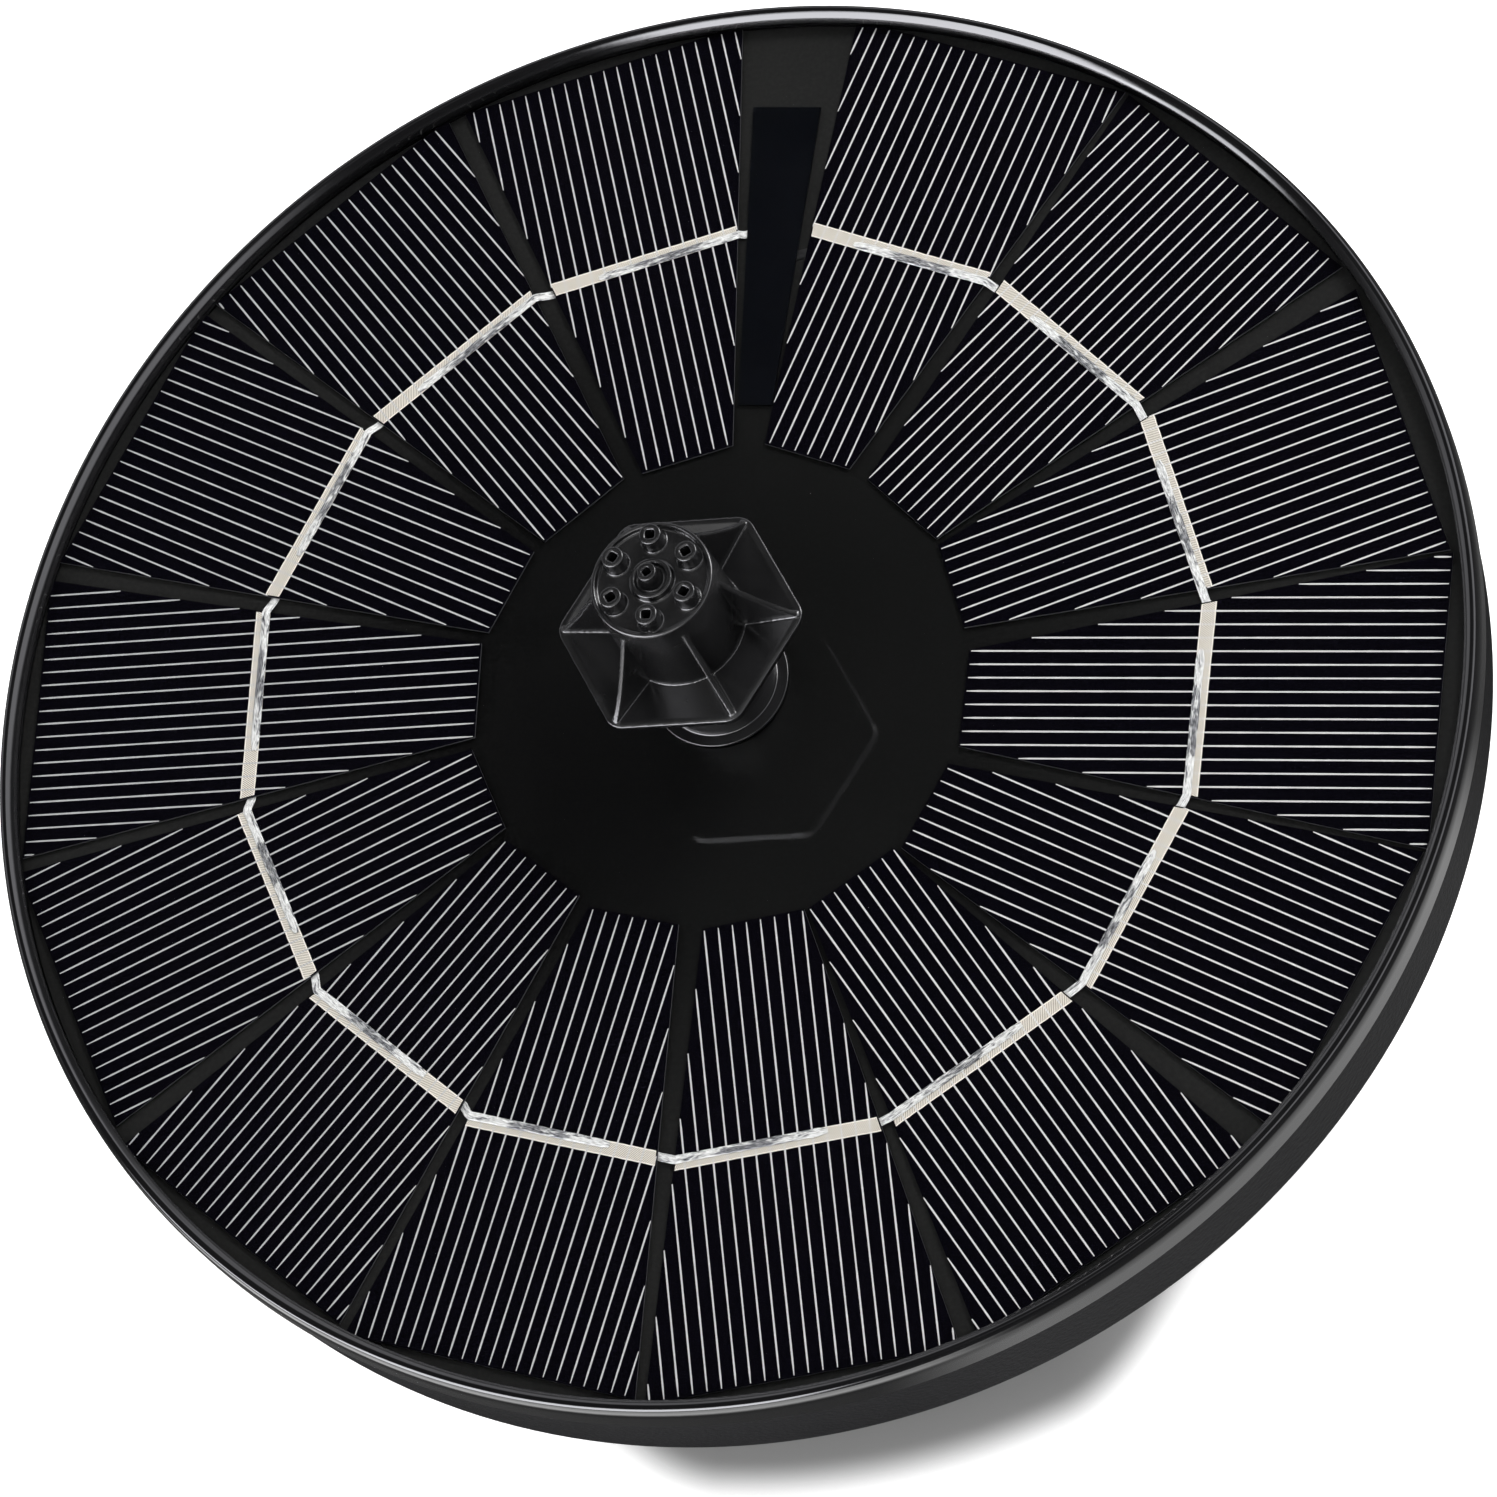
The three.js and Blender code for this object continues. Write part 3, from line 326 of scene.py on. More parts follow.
def textured_black_plastic(mat):
    """Pitted, grainy moulding, with painted shade that makes it darker towards -X."""
    grain = mat.noise(size=0.42, detail=4, rough=0.7)
    height = mat.add(mat.times(mat.cells(size=0.62), 0.6), grain)
    slow = mat.noise(size=17)
    tone = mat.mix(slow, (0.0058, 0.0058, 0.0062), (0.0088, 0.0088, 0.0092))
    tone = mat.mix(mat.span(grain, over=(0.42, 0.68)), tone, (0.021, 0.021, 0.022))
    # painted shade: the moulding is darker towards -X
    side = mat.span(mat.xyz(mat.place)[0], over=(-0.030, 0.045))
    tone = mat.mix(side, (0.0034, 0.0034, 0.0036), tone)
    rough = mat.span(grain, over=(0.3, 0.7), to=(0.50, 0.64))
    mat.surface(tone, rough, mat.bump(height, depth=0.11), specular=0.07)


def plastic(mat, base, rough, grain, depth, spread, specular, tone_size, rough_spread):
    """Moulded plastic: slow tone and roughness drift, with grain in colour and relief."""
    slow = mat.noise(tone_size)
    fine = mat.noise(grain * 1.7, detail=2)
    tone = mat.mix(slow, scaled(base, 1 - spread), scaled(base, 1 + spread))
    tone = mat.mix(mat.span(fine, over=(0.3, 0.7)), tone, scaled(base, 1 + 1.4 * spread))
    rough_range = (rough - rough_spread, rough + rough_spread)
    roughness = mat.drift(tone_size * 0.6, detail=4, to=rough_range)
    relief = mat.bump(mat.noise(grain, detail=4, rough=0.65), depth)
    mat.surface(tone, roughness, relief, specular=specular)


def filter_foam(mat):
    holes = mat.cells(size=0.9)
    fine = mat.noise(size=0.5, detail=4, rough=0.7)
    # painted shade in the foam's holes: the pores are coloured dark
    painted_pore_shade = mat.span(holes, over=(0.15, 0.55))
    tone = mat.mix(painted_pore_shade, (0.012, 0.013, 0.015), (0.085, 0.09, 0.10))
    tone = mat.mix(mat.span(fine, over=(0.4, 0.7)), tone, (0.05, 0.053, 0.06))
    height = mat.add(holes, mat.times(fine, 0.5))
    mat.surface(tone, 0.95, mat.bump(height, depth=0.6), specular=0.2)


def circuit_board(mat):
    """Green board with brick-pattern tracks; whatever stands above it is black."""
    tracks = mat.node("TexBrick", {
        "Vector": mat.place, "Scale": 330.0, "Mortar Size": 0.06,
        "Color1": (0.010, 0.085, 0.032), "Color2": (0.014, 0.11, 0.04),
        "Mortar": (0.035, 0.19, 0.07),
    })["Color"]
    part = mat.span(mat.xyz(mat.place)[2], over=(0.02495, 0.0250))
    black = mat.mix(mat.noise(size=1.2), grey(0.012), grey(0.03))
    tone = mat.mix(part, tracks, black)
    mat.surface(tone, 0.4, mat.bump(mat.noise(size=0.7), depth=0.02))


def copper_winding(mat):
    turn_relief_and_shade = mat.stripes(mat.xyz(mat.place)[2], pitch=0.42 * MM)
    # painted shade and highlight: dark in the grooves between turns, light on their crests; the
    # same stripes give the relief
    tone = mat.mix(mat.span(turn_relief_and_shade, over=(-0.6, 0.8)), (0.22, 0.060, 0.016), (0.80, 0.33, 0.13))
    mat.surface(tone, 0.34, mat.bump(turn_relief_and_shade, depth=0.10, strength=0.9), metal=0.85)


def electrical_steel(mat):
    sheets = mat.stripes(mat.xyz(mat.place)[2], pitch=0.5 * MM)
    mottle = mat.noise(size=2.0, detail=4)
    tone = mat.mix(mottle, (0.20, 0.205, 0.21), (0.42, 0.43, 0.44))
    mat.surface(tone, 0.38, mat.bump(sheets, depth=0.05, strength=0.7), metal=0.9)


def stainless_screw(mat):
    vector = mat.node("Mapping", {"Vector": mat.place, "Scale": (1, 1, 4)})[0]
    brushed = mat.noise(size=1.2, detail=4, rough=0.6, vector=vector)
    tone = mat.mix(brushed, (0.44, 0.44, 0.45), (0.66, 0.66, 0.67))
    rough = mat.drift(size=2.4, to=(0.17, 0.33))
    mat.surface(tone, rough, mat.bump(brushed, depth=0.012), metal=1.0)


# base colour, roughness, grain size, grain depth, tone spread, specular,
# size of the tone drift, roughness spread
PLASTICS = {
    "insulating_strip": ((0.0009, 0.0012, 0.0021), 0.42, 0.5, 0.012, 0.35, 0.08, 12, 0.06),
    "nozzle_plastic": ((0.0034, 0.0034, 0.0036), 0.24, 0.30, 0.006, 0.25, 0.5, 5.0, 0.04),
    "pump_plastic": ((0.0145, 0.0145, 0.0150), 0.36, 0.5, 0.018, 0.3, 0.5, 8.0, 0.06),
    "strainer_plastic": ((0.0125, 0.0125, 0.0130), 0.42, 0.55, 0.030, 0.35, 0.5, 11.0, 0.06),
    "seal_rubber": ((0.0080, 0.0080, 0.0082), 0.62, 0.4, 0.02, 0.3, 0.35, 4.0, 0.06),
    "wire_red": ((0.36, 0.014, 0.012), 0.42, 0.5, 0.010, 0.18, 0.5, 6.0, 0.06),
    "wire_black": ((0.0105, 0.0105, 0.0110), 0.42, 0.5, 0.010, 0.3, 0.5, 6.0, 0.06),
    "ceramic_bearing": ((0.66, 0.63, 0.58), 0.22, 0.3, 0.004, 0.06, 0.5, 3.0, 0.04),
    "ferrite": ((0.026, 0.026, 0.028), 0.48, 0.3, 0.020, 0.35, 0.5, 2.5, 0.06),
    "impeller_plastic": ((0.56, 0.57, 0.54), 0.38, 0.5, 0.008, 0.07, 0.5, 5.0, 0.06),
}
MATERIALS = {}


def make_material(name, build, *values):
    mat = Mat(name)
    build(mat, *values)
    MATERIALS[name] = mat.material


for build in (
    solar_cell, printed_silver, printed_busbar, tinned_ribbon, panel_backing, clear_laminate,
    gloss_black_plastic, textured_black_plastic,
):
    make_material(build.__name__, build)
for name, values in PLASTICS.items():
    make_material(name, plastic, *values)
for build in (filter_foam, circuit_board, copper_winding, electrical_steel, stainless_screw):
    make_material(build.__name__, build)


# ------------------------------------------------------------------ mesh building (mm)
def mesh_object(name, verts, faces):
    mesh = bpy.data.meshes.new(name)
    mesh.from_pydata([tuple(map(float, v)) for v in verts], [], faces)
    mesh.update()
    ob = bpy.data.objects.new(name, mesh)
    scene.collection.objects.link(ob)
    return ob


def outward(ob):
    """Turn all face normals outward."""
    bm = bmesh.new()
    bm.from_mesh(ob.data)
    bmesh.ops.recalc_face_normals(bm, faces=bm.faces)
    bm.to_mesh(ob.data)
    bm.free()


def set_uv(ob, name, coordinates):
    layer = ob.data.uv_layers.new(name=name)
    for loop in ob.data.loops:
        layer.data[loop.index].uv = coordinates[loop.vertex_index]


def fillet(points, closed=True, steps=5):
    """Points (x, y) or (x, y, corner radius) -> plain points with the corners rounded."""
    rounded, count = [], len(points)
    for i, (x, y, *radius) in enumerate(points):
        if not radius or radius[0] <= 0 or (not closed and i in (0, count - 1)):
            rounded.append((x, y))
            continue
        corner = np.array((x, y), float)
        back = np.array(points[i - 1][:2], float) - corner
        ahead = np.array(points[(i + 1) % count][:2], float) - corner
        back_length, ahead_length = np.linalg.norm(back), np.linalg.norm(ahead)
        back, ahead = back / back_length, ahead / ahead_length
        opening = math.acos(max(-1, min(1, float(back @ ahead))))
        # the arc may use up at most 0.49 of either neighbouring side
        trim = min(radius[0] / math.tan(opening / 2), 0.49 * min(back_length, ahead_length))
        arc_r = trim * math.tan(opening / 2)
        middle = (back + ahead) / np.linalg.norm(back + ahead)
        centre = corner + middle * arc_r / math.sin(opening / 2)
        start = corner + back * trim - centre
        end = corner + ahead * trim - centre
        start_angle, end_angle = math.atan2(start[1], start[0]), math.atan2(end[1], end[0])
        turn = (end_angle - start_angle + math.pi) % (2 * math.pi) - math.pi
        for k in range(steps + 1):
            angle = start_angle + turn * k / steps
            rounded.append((
                centre[0] + arc_r * math.cos(angle), centre[1] + arc_r * math.sin(angle),
            ))
    return rounded


def supported(points, closed, gap=0.12, least=0.8):
    """Add points near both ends of long straights, so smooth shading leaves flats flat."""
    dense = []
    for i, here in enumerate(points):
        dense.append(here)
        if i + 1 == len(points) and not closed:
            break
        there = points[(i + 1) % len(points)]
        dx, dy = there[0] - here[0], there[1] - here[1]
        length = math.hypot(dx, dy)
        if length > least:
            for part in (gap / length, 1 - gap / length):
                dense.append((here[0] + dx * part, here[1] + dy * part))
    return dense


def smooth_path(points, step=0.35):
    """Catmull-Rom curve through the points, resampled about every `step` mm."""
    knots = [np.array(q, float) for q in points]
    knots = [2 * knots[0] - knots[1]] + knots + [2 * knots[-1] - knots[-2]]
    path = []
    for before, start, end, after in zip(knots, knots[1:], knots[2:], knots[3:]):
        count = max(2, int(np.linalg.norm(end - start) / step))
        for k in range(count):
            t = k / count
            path.append(0.5 * (
                2 * start + (end - before) * t
                + (2 * before - 5 * start + 4 * end - after) * t * t
                + (3 * start - before - 3 * end + after) * t ** 3
            ))
    path.append(knots[-2])
    return path


def ring_points(radius, count=48, at=(0.0, 0.0)):
    angles = [2 * math.pi * k / count for k in range(count)]
    return [(at[0] + radius * math.cos(g), at[1] + radius * math.sin(g)) for g in angles]


def turned(points, degrees, at=(0.0, 0.0)):
    cos, sin = polar(1.0, degrees)
    return [(at[0] + cos * x - sin * y, at[1] + sin * x + cos * y) for x, y in points]


def rounded_box(x_span, y_span, radius, steps=5):
    (x0, x1), (y0, y1) = x_span, y_span
    corners = [(x0, y0, radius), (x1, y0, radius), (x1, y1, radius), (x0, y1, radius)]
    return fillet(corners, steps=steps)


def lathe(name, profile, seg=192, on_axis=False, steps=5, at=(0, 0)):
    """Turn a profile of (radius, z[, corner radius]) about Z.

    It is a closed loop, or with `on_axis` a line that starts and ends on the axis.
    """
    points = supported(fillet(profile, not on_axis, steps), not on_axis)
    verts, faces, rows = [], [], []
    for radius, z in points:
        start = len(verts)
        if abs(radius) < 1e-9:
            verts.append((at[0], at[1], z))
        else:
            verts += [(x, y, z) for x, y in ring_points(radius, seg, at)]
        rows.append(range(start, len(verts)))
    pairs = list(zip(rows, rows[1:])) + ([] if on_axis else [(rows[-1], rows[0])])
    for low, high in pairs:
        for k in range(seg):
            j = (k + 1) % seg
            if len(low) == 1:
                faces.append((low[0], high[j], high[k]))
            elif len(high) == 1:
                faces.append((low[k], low[j], high[0]))
            else:
                faces.append((low[k], low[j], high[j], high[k]))
    ob = mesh_object(name, verts, faces)
    outward(ob)
    return ob


def prism(outline, z0, z1, upper=None, name="tool"):
    """Closed prism over a plan outline; `upper` is another outline of the same count at z1."""
    n = len(outline)
    verts = [(x, y, z0) for x, y in outline] + [(x, y, z1) for x, y in upper or outline]
    faces = [tuple(range(n - 1, -1, -1)), tuple(range(n, 2 * n))]
    faces += [(i, (i + 1) % n, n + (i + 1) % n, n + i) for i in range(n)]
    ob = mesh_object(name, verts, faces)
    outward(ob)
    return ob


def drum(radius, z0, z1, at=(0.0, 0.0), top_r=None, n=48, name="tool"):
    upper = ring_points(radius if top_r is None else top_r, n, at)
    return prism(ring_points(radius, n, at), z0, z1, upper, name)


def drums(places, radius, z0, z1, n):
    return [drum(radius, z0, z1, place, n=n) for place in places]


def block(x_span, y_span, z_span, turn=0.0, corner=0.0, at=(0.0, 0.0)):
    return prism(turned(rounded_box(x_span, y_span, corner), turn, at), *z_span)


def bake(ob):
    """Replace the mesh by its evaluated form."""
    bpy.context.view_layer.update()
    depsgraph = bpy.context.evaluated_depsgraph_get()
    mesh = bpy.data.meshes.new_from_object(ob.evaluated_get(depsgraph))
    old = ob.data
    ob.modifiers.clear()
    ob.data = mesh
    bpy.data.meshes.remove(old)
    if not len(mesh.vertices):
        raise RuntimeError(f"{ob.name} came out empty")


def csg(base, add=(), cut=()):
    """base + add - cut; the tools are used up."""
    for operation, tools in (("UNION", add), ("DIFFERENCE", cut)):
        for tool in tools:
            modifier = base.modifiers.new("boolean", "BOOLEAN")
            modifier.operation = operation
            modifier.solver = "MANIFOLD"
            modifier.object = tool
    bake(base)
    for tool in (*add, *cut):
        mesh = tool.data
        bpy.data.objects.remove(tool)
        bpy.data.meshes.remove(mesh)
    return base


def soften(ob, voxel, rounds):
    """Moulded edges: voxel remesh, then a little smoothing."""
    remesh = ob.modifiers.new("remesh", "REMESH")
    remesh.mode = "VOXEL"
    remesh.voxel_size = voxel
    remesh.use_smooth_shade = True
    smooth = ob.modifiers.new("smooth", "SMOOTH")
    smooth.factor = 0.5
    smooth.iterations = rounds
    bake(ob)


def shade(mesh, angle):
    """Smooth shading, with edges sharper than `angle` degrees kept hard."""
    mesh.shade_smooth()
    if angle is None:
        return
    bm = bmesh.new()
    bm.from_mesh(mesh)
    limit = math.radians(angle)
    for edge in bm.edges:
        edge.smooth = len(edge.link_faces) == 2 and edge.calc_face_angle(0.0) < limit
    bm.to_mesh(mesh)
    bm.free()


def piece(ob, body, material, stands_for=None, angle=30):
    """Scale to metres, shade and dress; attach it to its body and hide the CAD part it stands
    for.
    """
    mesh = ob.data
    mesh.transform(Matrix.Scale(MM, 4))
    mesh.update()
    shade(mesh, angle)
    mesh.materials.clear()
    mesh.materials.append(MATERIALS[material])
    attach(ob, body)
    if stands_for:
        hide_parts(stands_for)
    return ob


# ------------------------------------------------------------------ raft shells
# Profiles here and below: radius, z, optional corner radius.
BEAD_OUTER = [
    (83.46, 33.85, 0.1), (83.48, 36.3), (83.47, 36.75), (83.42, 37.2), (83.34, 37.55),
    (83.24, 37.82), (83.12, 38.02), (82.98, 38.13), (82.80, 38.185), (82.60, 38.2),
]


def bead_section():
    """Outer face and crest of the rim bead, then the flank that steepens down inward."""
    points = list(BEAD_OUTER)
    radius, z, step = 82.45, 38.17, 0.095
    for k in range(11):
        points.append((radius, z))
        tilt = math.radians(28 + 22 * (k + 0.5) / 10)
        radius -= step * math.cos(tilt)
        z -= step * math.sin(tilt)
    return points


def frame_shell():
    shell = lathe("frame_shell", [
        (5.6, 32.3, 0.2), (80.6, 32.3, 0.3), (80.6, 33.05), (82.28, 33.05), (82.28, 33.65),
        (83.33, 33.65, 0.1), *bead_section(), (81.67, 37.42), (81.655, 37.2), (81.65, 36.7),
        (82.2, 36.68), (82.2, 36.2), (81.95, 36.15), (81.95, 34.1), (5.6, 34.1),
    ], seg=288, steps=6)
    csg(shell, cut=drums(LEAD_HOLES, 1.2, 31, 35, n=24))
    piece(shell, "raft", "gloss_black_plastic", "panel_frame")


def hull_shell():
    hull = lathe("hull_shell", [
        (26.4, 22.0, 0.35), (56.0, 22.0, 0.3), (56.4, 21.2, 0.3), (58.6, 21.2, 0.3),
        (59.0, 22.0, 0.3), (82.48, 22.0, 1.7), (82.9, 33.5, 0.25), (82.42, 33.5, 0.1),
        (82.42, 33.0), (81.0, 33.0), (80.72, 23.75, 1.0), (26.4, 23.7, 0.3),
    ], seg=240, steps=7)
    bosses = drums(SCREW_PLACES, 3.5, 22.5, 30.5, n=40)
    csg(hull, add=bosses, cut=drums(SCREW_PLACES, 1.75, 21.0, 29.3, n=32))
    piece(hull, "raft", "textured_black_plastic", "hull_bowl")


def board_film():
    board = lathe("board_film", [
        (BOARD_HOLE_R, BOARD_Z0, 0.1), (81.85, BOARD_Z0, 0.15),
        (81.85, BOARD_Z1, 0.12), (BOARD_HOLE_R, BOARD_Z1, 0.08),
    ], seg=240, steps=3)
    csg(board, cut=drums(LEAD_HOLES, 1.1, 33, 36.5, n=24))
    piece(board, "raft", "panel_backing", "panel_board")


def cover_sheet():
    cover = lathe("cover_sheet", [
        (BOARD_HOLE_R, COVER_Z0, 0.04), (COVER_R, COVER_Z0, 0.04),
        (COVER_R, COVER_Z1, 0.08), (BOARD_HOLE_R, COVER_Z1, 0.06),
    ], seg=240, steps=3)
    piece(cover, "raft", "clear_laminate", "clear_cover")


# ------------------------------------------------------------------ cells: print and ribbons
class CellFrame:
    """Plan coordinates of one cell: `out` from the raft's axis, `side` from its centre line."""

    def __init__(self, direction, offset, middle, cut, pitch, phase):
        self.out_axis = polar(1.0, direction)
        self.side_axis = (-self.out_axis[1], self.out_axis[0])
        self.offset, self.middle = offset, middle
        self.pitch, self.phase = pitch, phase
        self.inner_half, self.outer_half, self.finger_count = CELL_CUTS[cut]
        self.outer_end, self.inner_end = middle + CELL_LENGTH / 2, middle - CELL_LENGTH / 2

    def at(self, out, side):
        side += self.offset
        return tuple(p * out + q * side for p, q in zip(self.out_axis, self.side_axis))

    def half(self, out):
        """Half the cell's width at a distance out."""
        widening = self.outer_half - self.inner_half
        return self.inner_half + widening * (out - self.inner_end) / CELL_LENGTH

    def fingers(self):
        """(side, inner end, outer end) of each printed finger, clipped to the cell's shape."""
        slope = (self.outer_half - self.inner_half) / CELL_LENGTH
        corner = CELL_CORNER_R - 0.25
        for k in range(self.finger_count):
            side = (k - (self.finger_count - 1) / 2) * self.pitch + self.phase
            at_flank = self.inner_end + (abs(side) + 0.07 - self.inner_half) / slope
            low = max(self.inner_end + 0.22, at_flank)
            high = self.outer_end - 0.2
            if math.hypot(high, side + self.offset) > corner:
                high = math.sqrt(corner ** 2 - (side + self.offset) ** 2)
            if high - low > 1.0:
                yield side, low, high


def strip_mesh(name, lines):
    """Thin raised print; each line is a list of stations (left xy, right xy, z0, z1)."""
    verts, faces = [], []
    for stations in lines:
        base = len(verts)
        for left, right, z0, z1 in stations:
            verts += [(*left, z0), (*left, z1), (*right, z1), (*right, z0)]
        for k in range(len(stations) - 1):
            a = base + 4 * k
            b = a + 4
            faces += [(a + j, b + j, b + j + 1, a + j + 1) for j in range(3)]
        end = base + 4 * (len(stations) - 1)
        faces += [tuple(range(base, base + 4)), (end + 3, end + 2, end + 1, end)]
    ob = mesh_object(name, verts, faces)
    outward(ob)
    return ob


def print_fingers(label, cell):
    lines = []

    def station(out, side, half_width, z0, z1):
        left, right = cell.at(out, side + half_width), cell.at(out, side - half_width)
        return left, right, CELL_Z + z0, CELL_Z + z1

    for side, low, high in cell.fingers():
        steps = max(4, int((high - low) / 1.3))
        stations = []
        for s in range(steps + 1):
            out = low + (high - low) * s / steps
            taper = 0.55 if s in (0, steps) else 1.0
            half_width = FINGER_WIDTH / 2 * (1 + rng.uniform(-0.11, 0.11)) * taper
            stations.append(station(out, side, half_width, -0.004, 0.020))
        lines.append(stations)
    # the fingers cross the busbar as slightly raised ticks
    inner, outer = cell.middle - BUSBAR_HALF, cell.middle + BUSBAR_HALF
    for side, low, _ in cell.fingers():
        if low < inner:
            lines.append([
                station(out, side, FINGER_WIDTH * 0.42, 0.0, 0.026) for out in (inner, outer)
            ])
    ob = strip_mesh(f"fingers_{label}", lines)
    piece(ob, "raft", "printed_silver")


def print_busbar(label, cell, steps=40):
    """Flat band with a slightly ragged edge, UV in mm in the cell's own frame."""
    verts, uvs = [], []
    for s in range(steps + 1):
        for edge in (1, -1):
            out = cell.middle + edge * BUSBAR_HALF + rng.uniform(-0.02, 0.02)
            reach = cell.half(cell.middle + edge * BUSBAR_HALF) - 0.16
            side = (-1 + 2 * s / steps) * reach
            verts.append((*cell.at(out, side), CELL_Z + 0.022))
            uvs.append((side, edge * BUSBAR_HALF))
    faces = [(2 * s, 2 * s + 1, 2 * s + 3, 2 * s + 2) for s in range(steps)]
    ob = mesh_object(f"busbar_{label}", verts, faces)
    set_uv(ob, "print", uvs)
    outward(ob)
    if ob.data.polygons[0].normal.z < 0:
        ob.data.flip_normals()
    piece(ob, "raft", "printed_busbar")


RIBBON_WIDTH, RIBBON_HALF_THICK = 0.95, 0.072
RIBBON_INSET = 0.37  # inward from the middle of the cell
RIBBON_START = 0.5  # start, as a share of the cell's half width
RIBBON_TAIL = 4.0  # length under the next cell
RIBBON_TOP = CELL_Z + 0.105
RIBBON_LOW = BOARD_Z1 + 0.115
# shares of the width and of the half thickness
RIBBON_SECTION = [
    (-0.5, 0), (-0.44, 0.8), (-0.30, 1), (0.0, 1.03), (0.30, 1),
    (0.44, 0.8), (0.5, 0), (0.42, -0.85), (0, -1), (-0.42, -0.85),
]


def ribbon_path(cell, following):
    """Centre line over one cell and down to the board, on under the following cell if any."""
    out = cell.middle - RIBBON_INSET
    edge = -cell.half(out)
    start = cell.half(out) * RIBBON_START

    def on_cell(side, z=RIBBON_TOP):
        return (*cell.at(out, side), z)

    points = [on_cell(start), on_cell((start + edge) / 2)]
    if following:
        next_out = following.middle - RIBBON_INSET
        next_half = following.half(next_out)
        leave = cell.at(out, edge + 0.05)
        enter = following.at(next_out, next_half)
        dx, dy = enter[0] - leave[0], enter[1] - leave[1]
        points += [
            on_cell(edge + 1.2),
            on_cell(edge + 0.1),
            ((leave[0] + enter[0]) / 2, (leave[1] + enter[1]) / 2,
             RIBBON_TOP * 0.42 + RIBBON_LOW * 0.58),
            (enter[0] - 0.12 * dx, enter[1] - 0.12 * dy, RIBBON_LOW),
            (enter[0] + 0.2 * dx, enter[1] + 0.2 * dy, RIBBON_LOW),
            (*following.at(next_out, next_half - RIBBON_TAIL + 0.05), RIBBON_LOW),
        ]
    else:
        points += [
            on_cell(edge + 0.4), on_cell(edge - 0.1), on_cell(edge - 0.42, 35.9),
            on_cell(edge - 0.8, RIBBON_LOW), on_cell(edge - 1.2, RIBBON_LOW),
        ]
    return smooth_path(points)


def ribbon(k, cell, following):
    path = ribbon_path(cell, following)
    on_top = sum(1 for q in path if q[2] > RIBBON_TOP - 0.01)
    wobbles = [rng.uniform(-1, 1) for _ in range(60)]
    verts, uvs = [], []
    length = 0.0
    for s, centre in enumerate(path):
        heading = path[min(s + 1, len(path) - 1)] - path[max(s - 1, 0)]
        if s:
            length += float(np.linalg.norm(centre - path[s - 1]))
        side = np.array([-heading[1], heading[0], 0.0])
        side /= np.linalg.norm(side)
        # uneven width and height, interpolated between random values 1/0.7 mm apart
        place = length * 0.7
        i, t = int(place) % 58, place - int(place)
        wobble = wobbles[i] * (1 - t) + wobbles[i + 1] * t
        width = RIBBON_WIDTH * (1 + 0.05 * wobble)
        if length < 0.9:
            width *= 0.55 + 0.5 * length
        lift = 0.0
        if s < on_top - 2:
            lift = 0.012 * (wobble + 0.6 * math.sin(length * 1.9 + k))
        for x, y in RIBBON_SECTION:
            spot = centre + side * (x * width)
            verts.append((spot[0], spot[1], centre[2] + y * RIBBON_HALF_THICK + lift))
            uvs.append((length, x + 0.5))
    n = len(RIBBON_SECTION)
    faces = []
    for s in range(len(path) - 1):
        for j in range(n):
            j2 = (j + 1) % n
            faces.append((s * n + j, s * n + j2, (s + 1) * n + j2, (s + 1) * n + j))
    faces.append(tuple(range(n)))
    faces.append(tuple(range((len(path) - 1) * n, len(path) * n))[::-1])
    ob = mesh_object(f"tinned_ribbon_{k + 1:02d}", verts, faces)
    set_uv(ob, "run", uvs)
    outward(ob)
    piece(ob, "raft", "tinned_ribbon", f"ribbon_{k + 1:02d}", angle=50)


# ------------------------------------------------------------------ nozzle
HEX_TURN = -93.99  # degrees
JET_R, JET_ANGLE = 4.63, 86.85
# (radius, z) down the outer edge of a rib
RIB_CREST = [
    (6.3, 63.0), (6.7, 62.35), (7.2, 61.3), (7.9, 60.1), (8.8, 58.7),
    (9.8, 57.15), (10.9, 55.6), (12.0, 54.25), (13.05, 53.1),
]


def nozzle_stem():
    stem = lathe("stem_tube", [
        (5.25, 36.85, 0.12), (7.76, 36.85, 0.10), (7.76, 37.28, 0.10), (6.45, 37.30, 0.22),
        (6.45, 50.9, 0.35), (4.0, 50.9, 0.15), (4.0, 54.5, 0.3), (2.9, 54.5, 0.12),
        (2.9, 43.2, 0.1), (5.25, 43.0, 0.1),
    ], seg=144, steps=6)
    return piece(stem, "nozzle_stem", "nozzle_plastic", "nozzle_stem")


def head_outline(apothem=None, corner_r=None, circle_r=None, n=180):
    """Rounded hexagon or circle, sampled at the same angles."""
    outline = []
    for k in range(n):
        degrees = 360.0 * k / n
        radius = circle_r
        if not circle_r:
            off_flat = abs((degrees + 30) % 60 - 30)
            flat = (apothem - corner_r) * math.tan(math.radians(30))
            if apothem * math.tan(math.radians(off_flat)) <= flat:
                radius = apothem / math.cos(math.radians(off_flat))
            else:
                to_centre = (apothem - corner_r) / math.cos(math.radians(30))
                off_corner = math.radians(30 - off_flat)
                radius = to_centre * math.cos(off_corner) + math.sqrt(
                    max(corner_r ** 2 - (to_centre * math.sin(off_corner)) ** 2, 0))
        outline.append(polar(radius, degrees + HEX_TURN))
    return outline


def head_flange():
    """Hexagonal plate on a flared foot, with a shallow dish in its top."""
    lower, upper = head_outline(11.77, 2.2), head_outline(12.02, 2.2)
    flange = prism(lower, 51.75, 53.03, upper, name="head_cap")
    foot = prism(head_outline(circle_r=6.45), 51.2, 51.76, head_outline(11.78, 2.2))
    csg(flange, add=[foot])
    dish = prism(head_outline(circle_r=6.95), 52.05, 53.06, head_outline(11.42, 1.72))
    return csg(flange, cut=[dish])


